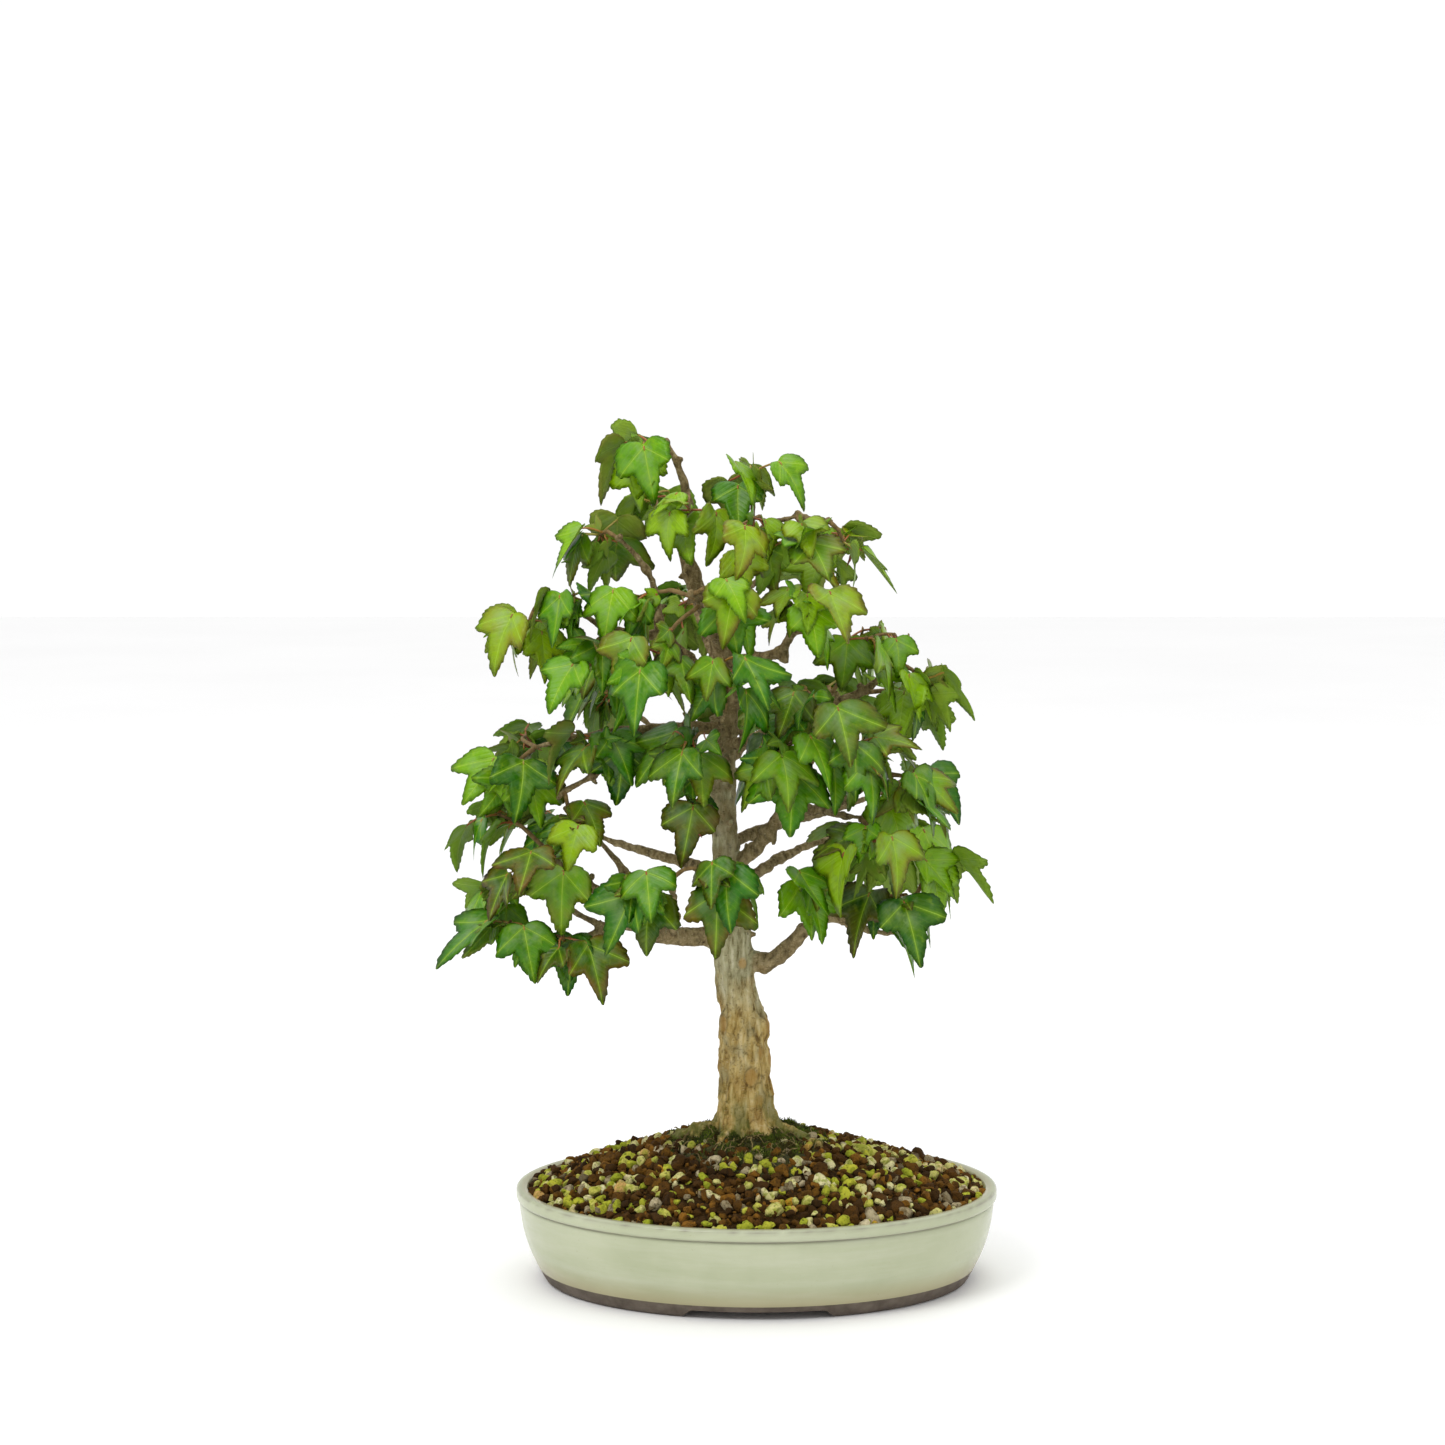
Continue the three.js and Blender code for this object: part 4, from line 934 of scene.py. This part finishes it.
def stub_tubes(random, heap, wood_mesh):
    """Short pruned stubs and spurs all over the limbs."""
    points, normals = vectors_of(wood_mesh), vectors_of(wood_mesh, "normal")
    high = np.flatnonzero(points[:, 2] > SOIL_TOP + 95 * MM)
    for k in random.choice(high, STUBS, replace=False):
        way = unit(normals[k] + random.normal(0, 0.35, 3))
        long, radius = random.uniform(2.5, 6.5) * MM, random.uniform(1.0, 1.7) * MM
        start = points[k] - normals[k] * 1.2 * MM
        line = [start, start + way * long * 0.5, start + way * long + random.normal(0, 0.6, 3) * MM]
        heap.put(*tube(line, [radius * 1.4, radius, radius * 0.95], 8), 0)


def make_wood():
    """Trunk and limbs in one skin: flared roots, fluted flaking bark, knots and healed pruning scars."""
    random = np.random.default_rng(17)
    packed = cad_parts["trunk_and_limbs"]
    heap = root_tubes(random)
    stub_tubes(random, heap, packed.data)
    heap.put(vectors_of(packed.data), [list(p.vertices) for p in packed.data.polygons], 0)
    made = heap.piece("maple_wood", [BARK])
    step = made.modifiers.new("skin", "REMESH")
    step.mode = "VOXEL"
    step.voxel_size = BARK_VOXEL
    step = made.modifiers.new("soften", "SMOOTH")
    step.factor = 0.5
    step.iterations = 4
    applied(made)
    mesh = made.data
    at = vectors_of(mesh)
    out = vectors_of(mesh, "normal")
    inner = BVHTree.FromPolygons(at.tolist(), [p.vertices[:] for p in mesh.polygons])
    thick = np.full(len(at), 30 * MM)
    for k in range(len(at)):
        hit = inner.ray_cast(Vector(at[k] - out[k] * 0.4 * MM), Vector(-out[k]), 40 * MM)
        if hit[0] is not None:
            thick[k] = hit[3]
    high = at[:, 2] - SOIL_TOP
    limb = np.clip((17 * MM - thick) / (7 * MM), 0, 1) * np.clip((high - 20 * MM) / (30 * MM), 0, 1)
    trunk_share = 1 - limb
    flaky = np.clip((FLAKES_END - high) / (35 * MM), 0, 1)
    flare = np.exp(-np.maximum(high, 0) / (9 * MM))
    rise = np.zeros(len(at))
    seam = np.zeros(len(at))
    for k, point in enumerate(at):
        p = Vector(point)
        tall = Vector((p.x, p.y, p.z * 0.3))
        flute = fbm(tall, 9 * MM)
        flake = noise.noise(Vector((p.x, p.y, p.z * 0.5)) / (2.6 * MM))
        lump = fbm(p, 13 * MM, 2)
        fine = noise.noise(p / (1.5 * MM))
        knobs = max(0.0, noise.noise(p / (6 * MM)) - 0.1)
        plate = noise.noise(Vector((p.x, p.y, p.z * 0.55)) / (6.5 * MM)) + 0.35 * flake
        lifted = min(1.0, max(0.0, (plate - 0.04) / 0.08)) * flaky[k]
        seam[k] = flaky[k] * math.exp(-(((plate - 0.06) / 0.035) ** 2))
        rough = 0.7 * flute + 0.35 * flake + 0.6 * lump + 0.15 * fine + 0.6 * lifted - 1.1 * flaky[k]
        rise[k] = trunk_share[k] * (rough + flare[k] * (1.7 + 2.6 * flute)) * MM
        rise[k] += limb[k] * (0.5 * lump + 2.0 * knobs + 0.3 * flake + 0.15 * fine) * MM
    ring_tint = np.zeros(len(at))
    heart_tint = np.zeros(len(at))
    from_axis = np.linalg.norm(at[:, :2] - TRUNK_FOOT[:2], axis=1)
    for way, high, radius, bulge, dip in TRUNK_MARKS:
        near = (np.abs(at[:, 2] - high * MM) < 2 * MM) & (from_axis < 30 * MM)
        heart = at[near].mean(axis=0)
        side = np.array([math.cos(math.radians(way)), math.sin(math.radians(way)), 0])
        hit = inner.ray_cast(Vector(heart + side * 60 * MM), Vector(-side))
        if hit[0] is None:
            continue
        gap = at - np.array(hit[0])
        gap[:, 2] *= 0.75
        far = np.linalg.norm(gap, axis=1) / (radius * MM)
        swell = np.exp(-((far / 1.15) ** 4))
        heart = np.clip((0.8 - far) / 0.2, 0, 1)
        rise += (bulge * swell - dip * heart) * MM
        ring_tint = np.maximum(ring_tint, np.exp(-(((far - 0.84) / 0.1) ** 2)) * min(dip, 1))
        heart_tint = np.maximum(heart_tint, heart * 0.6)
    at += out * rise[:, None]
    mesh.vertices.foreach_set("co", at.ravel())
    mesh.update()
    dark = np.clip(np.maximum(ring_tint * 0.75, seam * 0.6), 0, 1)
    keep_colour(mesh, "wood", np.stack([limb * 0.9, dark, heart_tint], axis=1))
    mesh.polygons.foreach_set("use_smooth", np.full(len(mesh.polygons), True))
    settle(made, "maple_wood", "trunk_and_limbs")


# ---------------------------------------------------------------- shoots
def packed_leaves(node):
    """A shoot's packed leaves, each as base, along, across, up and length, and the twig's points."""
    shape = bmesh.new()
    shape.from_mesh(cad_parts[node].data)
    bmesh.ops.remove_doubles(shape, verts=shape.verts, dist=1e-6)
    bmesh.ops.triangulate(shape, faces=shape.faces)
    shape.normal_update()
    seen, blades = set(), []
    for face in shape.faces:
        if face.index in seen:
            continue
        group, queue = [], [face]
        seen.add(face.index)
        while queue:
            one = queue.pop()
            group.append(one)
            for edge in one.edges:
                for other in edge.link_faces:
                    if other.index not in seen and other.normal.dot(face.normal) > 0.9995:
                        seen.add(other.index)
                        queue.append(other)
        area = sum(one.calc_area() for one in group)
        if area < 75 * MM * MM:
            continue
        corners = np.array([v.co[:] for v in {v for one in group for v in one.verts}])
        blades.append((area, np.array(face.normal), corners))
    blades.sort(key=lambda blade: -blade[0])
    leaves, used = [], []
    for area, normal, corners in blades:
        middle = corners.mean(axis=0)
        if any(
            np.linalg.norm(middle - other) < 3.2 * MM and normal @ facing < -0.95 for other, facing in used
        ):
            continue
        used.append((middle, normal))
        best = None
        for i in range(len(corners)):
            for j in range(i + 1, len(corners)):
                base = (corners[i] + corners[j]) / 2
                tip = corners[np.argmax(np.linalg.norm(corners - base, axis=1))]
                length = np.linalg.norm(tip - base)
                wide = np.linalg.norm(corners[i] - corners[j])
                along = (tip - base) / length
                error = abs(wide / length - 0.04) + abs(unit(corners[i] - corners[j]) @ along)
                if best is None or error < best[0]:
                    best = (error, base, along, length)
        _, base, along, length = best
        leaves.append((base, along, unit(np.cross(along, normal)), normal, length))
    owned = np.array([v.co[:] for v in shape.verts])
    shape.free()
    off = np.ones(len(owned), dtype=bool)
    for base, along, _, up, length in leaves:
        place = owned - base
        in_plane = (np.abs(place @ up) < 1.6 * MM) & (place @ along > -0.5 * MM)
        off &= ~(in_plane & (np.linalg.norm(place, axis=1) < 1.1 * length))
    return leaves, owned[off]


def twig_line(points, leaves, wood):
    """A line through the middle of a twig's points, from the wood outwards."""
    if len(points) < 4:
        points = np.array([leaf[0] for leaf in leaves])
    nearest = [wood.find_nearest(Vector(p))[3] for p in points]
    start = points[int(np.argmin(nearest))]
    far = points[int(np.argmax(np.linalg.norm(points - start, axis=1)))]
    heading = far - start
    length = max(np.linalg.norm(heading), 1e-6)
    share = (points - start) @ heading / length**2
    line = [points[share < 0.12].mean(axis=0) if (share < 0.12).any() else start]
    for low, high in ((0.12, 0.37), (0.37, 0.63), (0.63, 0.88)):
        inside = (share >= low) & (share < high)
        if inside.sum() >= 3:
            line.append(points[inside].mean(axis=0))
    line.append(points[share >= 0.88].mean(axis=0))
    root = wood.find_nearest(Vector(line[0]))
    inward = np.array(root[0]) - np.array(root[1]) * 1.2 * MM
    return np.vstack([inward, line])


EDGE_ANGLES, EDGE_REACH = (np.array(column, dtype=float) for column in zip(*LEAF_EDGE))


def leaf_outline(random):
    """A leaf's toothed edge on its own plane, for a leaf of length 1, and the edge without teeth."""
    turns = np.linspace(-180, 180, 720, endpoint=False)
    spread = random.uniform(0.88, 1.12)
    wide = np.abs(turns) * spread
    reach = np.interp(np.clip(wide, 0, 180), EDGE_ANGLES, EDGE_REACH)
    lobe = np.exp(-(((wide - 51) / 19) ** 2))
    left, right = random.uniform(0.78, 1.12) * random.uniform(0.93, 1.07, 2)
    reach *= 1 + lobe * (np.where(turns < 0, left, right) - 1)
    around = np.radians(turns)
    edge = np.stack([reach * np.sin(around), reach * np.cos(around)], axis=1)
    steps = np.linalg.norm(np.diff(np.vstack([edge, edge[:1]]), axis=0), axis=1)
    run = np.concatenate([[0], np.cumsum(steps)])
    wanted = np.linspace(0, run[-1], LEAF_ROUND, endpoint=False)
    closed = np.vstack([edge, edge[:1]])
    smooth = np.stack([np.interp(wanted, run, closed[:, k]) for k in (0, 1)], axis=1)
    heading = np.roll(smooth, -1, axis=0) - np.roll(smooth, 1, axis=0)
    heading /= np.linalg.norm(heading, axis=1)[:, None]
    outward = np.stack([-heading[:, 1], heading[:, 0]], axis=1)
    rise = np.tile([-0.4, 0.1, 0.65, 1.0], LEAF_ROUND // TOOTH)
    left_half = np.arange(LEAF_ROUND) < LEAF_ROUND // 2
    rise = np.where(left_half, rise, rise[::-1])
    sizes = np.repeat(random.uniform(0.15, 1.5, LEAF_ROUND // TOOTH), TOOTH)
    away = np.clip((np.linalg.norm(smooth, axis=1) - 0.2) / 0.15, 0, 1)
    return smooth + outward * (0.017 * rise * sizes * away)[:, None], smooth


def leaf_mesh(random, length, curl, dead=False):
    """A leaf on its own plane: points, faces, plane places and which face of it each one is."""
    toothed, smooth = leaf_outline(random)
    fold = random.uniform(0.0, 0.4)
    droop = random.uniform(-0.05, 0.35) + curl
    side_droop = random.uniform(-0.25, 0.45) + curl
    twist, bend = random.uniform(-0.5, 0.5), random.uniform(-0.12, 0.12)
    wave, phase = random.uniform(0.008, 0.03), random.uniform(0, 6)
    if dead:
        fold, droop, side_droop, wave = 1.0, 1.0, 1.3, 0.08
    rings, plane = [], []
    for ring in range(1, LEAF_RINGS + 1):
        share = (ring / LEAF_RINGS) ** 0.85
        flat = (toothed if ring == LEAF_RINGS else smooth) * share
        x, y = flat[:, 0], flat[:, 1]
        around = np.arctan2(x, y)
        z = fold * (np.sqrt(x**2 + 0.0006) - 0.0245)
        z = z - droop * np.maximum(y, 0) ** 2 - side_droop * x**2 * 1.3
        z += twist * x * y + wave * share**2 * np.sin(around * 5 + phase)
        squeeze = 1 - 0.35 * min(fold, 1) ** 2
        rings.append(np.stack([x * squeeze + bend * y**2, y * (1 - 0.12 * droop), z], axis=1))
        plane.append(flat)
    thick = LEAF_THICKNESS / length
    top = np.vstack([[[0, 0, thick / 2]], *[r + [0, 0, thick / 2] for r in rings[:-1]]])
    under = np.vstack([[[0, 0, -thick / 2]], *[r - [0, 0, thick / 2] for r in rings[:-1]]])
    points = np.vstack([top, under, rings[-1]]) * length
    flat = np.vstack([[[0, 0]], *plane[:-1]])
    flat = np.vstack([flat, flat, plane[-1]])
    count = LEAF_ROUND
    inner = 1 + count * (LEAF_RINGS - 1)
    faces, below = [], []
    for side in (0, 1):
        start = side * inner

        def place(ring, s):
            if ring == LEAF_RINGS:
                return 2 * inner + s % count
            return start + 1 + (ring - 1) * count + s % count

        for s in range(count):
            rows = [[start, place(1, s + 1), place(1, s)]]
            for ring in range(1, LEAF_RINGS):
                outer = [place(ring + 1, s + 1), place(ring + 1, s)]
                rows.append([place(ring, s), place(ring, s + 1), *outer])
            faces += rows if side == 0 else [row[::-1] for row in rows]
            below += [side] * len(rows)
    return points, faces, flat, below


def tilted(axes, random, pitch, roll, yaw):
    """Three axes turned a little at random."""
    across, along, up = axes
    a, b, c = (math.radians(random.uniform(-amount, amount)) for amount in (pitch, roll, yaw))
    along, up = along * math.cos(a) + up * math.sin(a), up * math.cos(a) - along * math.sin(a)
    across, up = across * math.cos(b) + up * math.sin(b), up * math.cos(b) - across * math.sin(b)
    across, along = across * math.cos(c) + along * math.sin(c), along * math.cos(c) - across * math.sin(c)
    return across, along, up


def spare_leaves(node, leaves, line, high, random):
    """Small leaves out of a twig's outer half, inside its shoot's box, with how young each is."""
    spare = []
    low_corner, high_corner = (np.array(corner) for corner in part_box(node))
    for _ in range(SPARE_LEAVES - round(10 * max(high - 0.65, 0))):
        _, _, _, up, length = leaves[int(random.integers(len(leaves)))]
        start = line[int(random.uniform(0.55, 0.98) * (len(line) - 1))]
        heading = unit(unit(line[-1] - line[0]) + random.normal(0, 0.8, 3) + [0, 0, 0.1])
        sideways = unit(np.cross(heading, up + random.normal(0, 0.3, 3)))
        small = length * random.uniform(0.4, 0.78)
        tip = start + heading * small * 1.4
        if (tip < low_corner).any() or (tip > high_corner).any():
            continue
        upward = unit(np.cross(sideways, heading))
        young = 0.24 * max(0.0, 1.4 - 2 * small / length)
        spare.append(((start + heading * small * 0.45, heading, sideways, upward, small), young))
    return spare


def make_shoot(node, random, wood):
    """A twig with its leaf stalks and buds, and the leaves on it."""
    leaves, rest = packed_leaves(node)
    line = curve_through(twig_line(rest, leaves, wood), 18)
    radii = np.linspace(1.35 * MM, 0.75 * MM, len(line)) * random.uniform(0.92, 1.08, len(line))
    stems, blades, flats = Heap(), Heap(), []
    points, faces = tube(line, radii, 8)
    stems.put(points, faces, 0.5)
    bud, bud_faces = rock(random, 9)
    tip = line[-1] + unit(line[-1] - line[-3]) * 0.8 * MM
    stems.put(bud * [0.9 * MM, 0.9 * MM, 1.5 * MM] + tip, bud_faces, 0.2)
    high = (line[:, 2].mean() - SOIL_TOP) / (TREE_TOP - SOIL_TOP)
    # painted top light: shoots high in the crown get paler leaves, as if lit from above; shoots on the
    # right get a yellower young tone
    painted_top_light_and_young_right = 1.0 * max(high - 0.5, 0) + 0.2 * max(line[-1][0] - POT_MIDDLE[0], 0) / HALF_LENGTH
    shade = np.clip(random.normal(0.31 + painted_top_light_and_young_right, 0.13), 0.05, 0.85)
    wanted = [(leaf, 0.0) for leaf in leaves] + spare_leaves(node, leaves, line, high, random)
    for number, ((base, along, across, up, length), young) in enumerate(wanted):
        dead = number >= len(leaves) and random.uniform() < WITHERED_SHARE
        grown = length * (0.6 if dead else random.uniform(0.86, 1.04)) * (1.0 - 0.4 * max(high - 0.6, 0))
        across, along, up = tilted((across, along, up), random, 12, 22, 12)
        points, faces, flat, below = leaf_mesh(random, grown, 0.05 if up[2] > 0.3 else 0, dead)
        placed = base + points @ np.array([across, along, up])
        tone = np.clip(shade + random.normal(0, 0.16) + young, 0, 0.82)
        bronze = min(1.0, max(0.0, random.uniform(-0.75, 0.8)) + 0.4 * young)
        shades = np.stack([np.full(len(placed), tone), np.full(len(placed), bronze), LEAF_MARGIN], axis=1)
        blades.put(placed, faces, shades)
        blades.slots[-len(faces):] = [2 if dead else side for side in below]
        flats.append(flat)
        joint = line[int(np.argmin(np.linalg.norm(line - base, axis=1)))]
        if np.linalg.norm(joint - base) > 0.75 * length:
            joint = base - along * 0.4 * length
        bend = (joint + base) / 2 + up * 0.03 * length + random.normal(0, 0.5 * MM, 3)
        stalk = curve_through([joint, bend, base - along * 0.5 * MM, base + along * 0.05 * length], 9)
        points, faces = tube(stalk, np.linspace(0.62 * MM, 0.42 * MM, 9) * (0.7 if young else 1), 6)
        stems.put(points, faces, random.uniform(), 1)
    name = node.replace("shoot_", "")
    foliage = blades.piece("leaves_" + name, [LEAF_TOP, LEAF_UNDER, WITHERED])
    places = np.vstack(flats)
    corners = np.empty(len(foliage.data.loops), dtype=np.int32)
    foliage.data.loops.foreach_get("vertex_index", corners)
    own = foliage.data.uv_layers.new(name="LeafPlane")
    own.data.foreach_set("uv", places[corners].ravel())
    settle(foliage, "maple_leaf", node)
    settle(stems.piece("twig_" + name, [TWIG, STALK]), "maple_wood")


# ---------------------------------------------------------------- the whole object
wood_surface = surface_of("trunk_and_limbs")
make_pot()
make_soil()
make_moss()
make_wood()
leaf_random = np.random.default_rng(21)
for node in sorted(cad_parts):
    if node.startswith("shoot_"):
        make_shoot(node, leaf_random, wood_surface)

for node, material in (
    ("soil_bed", FINES),
    ("moss_front", MOSS_BASE),
    ("moss_right", MOSS_BASE),
    ("drain_screen_left", SCREEN),
    ("drain_screen_right", SCREEN),
    ("screen_clip_left", WIRE),
    ("screen_clip_right", WIRE),
):
    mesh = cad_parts[node].data
    mesh.materials.clear()
    mesh.materials.append(material)

# ---------------------------------------------------------------- floor, light and camera
floor = mesh_piece(
    "floor", [(x, y, 0) for x, y in ((-5, -5), (5, -5), (5, 5), (-5, 5))], [[0, 1, 2, 3]], [PAPER]
)

world = bpy.data.worlds.new("studio")
bpy.context.scene.world = world
world.use_nodes = True
room = world.node_tree
upward = add(room, "SeparateXYZ", {"Vector": add(room, "TexCoord", out="Generated")}, out="Z")
bands = [(0, "#e8e8e8"), (0.16, "#e8e8e8"), (0.24, "#a6a6a6"), (0.5, "#a6a6a6"), (0.7, "#ffffff")]
glow = add(room, "ValToRGB", {0: upward}, stops=bands)
room.links.new(glow, room.nodes["Background"].inputs["Color"])
room.nodes["Background"].inputs["Strength"].default_value = 1.26


def softbox(name, place, size, power):
    """A square soft light that faces the middle of the tree."""
    light = bpy.data.lights.new(name, "AREA")
    light.size = size
    light.energy = power
    made = bpy.data.objects.new(name, light)
    bpy.context.collection.objects.link(made)
    made.location = place
    aim = Vector((POT_MIDDLE[0], POT_MIDDLE[1], TREE_TOP * 0.5)) - Vector(place)
    made.rotation_euler = aim.to_track_quat("-Z", "Y").to_euler()


softbox("key", (-1.05, -1.3, 1.9), 0.9, 17)
softbox("fill", (1.6, -1.2, 1.1), 1.4, 3)
softbox("top", (0.1, 0.3, 2.2), 1.3, 7)

lens = bpy.data.cameras.new("camera")
lens.lens = LENS
lens.sensor_width = 36
camera = bpy.data.objects.new("camera", lens)
bpy.context.collection.objects.link(camera)
camera.location = [*(POT_MIDDLE[:2] + CAMERA_FROM_POT[:2]), CAMERA_FROM_POT[2]]
camera.rotation_euler = (math.radians(90 - CAMERA_DIP), 0, 0)
bpy.context.scene.camera = camera
bpy.context.scene.view_settings.view_transform = "Standard"
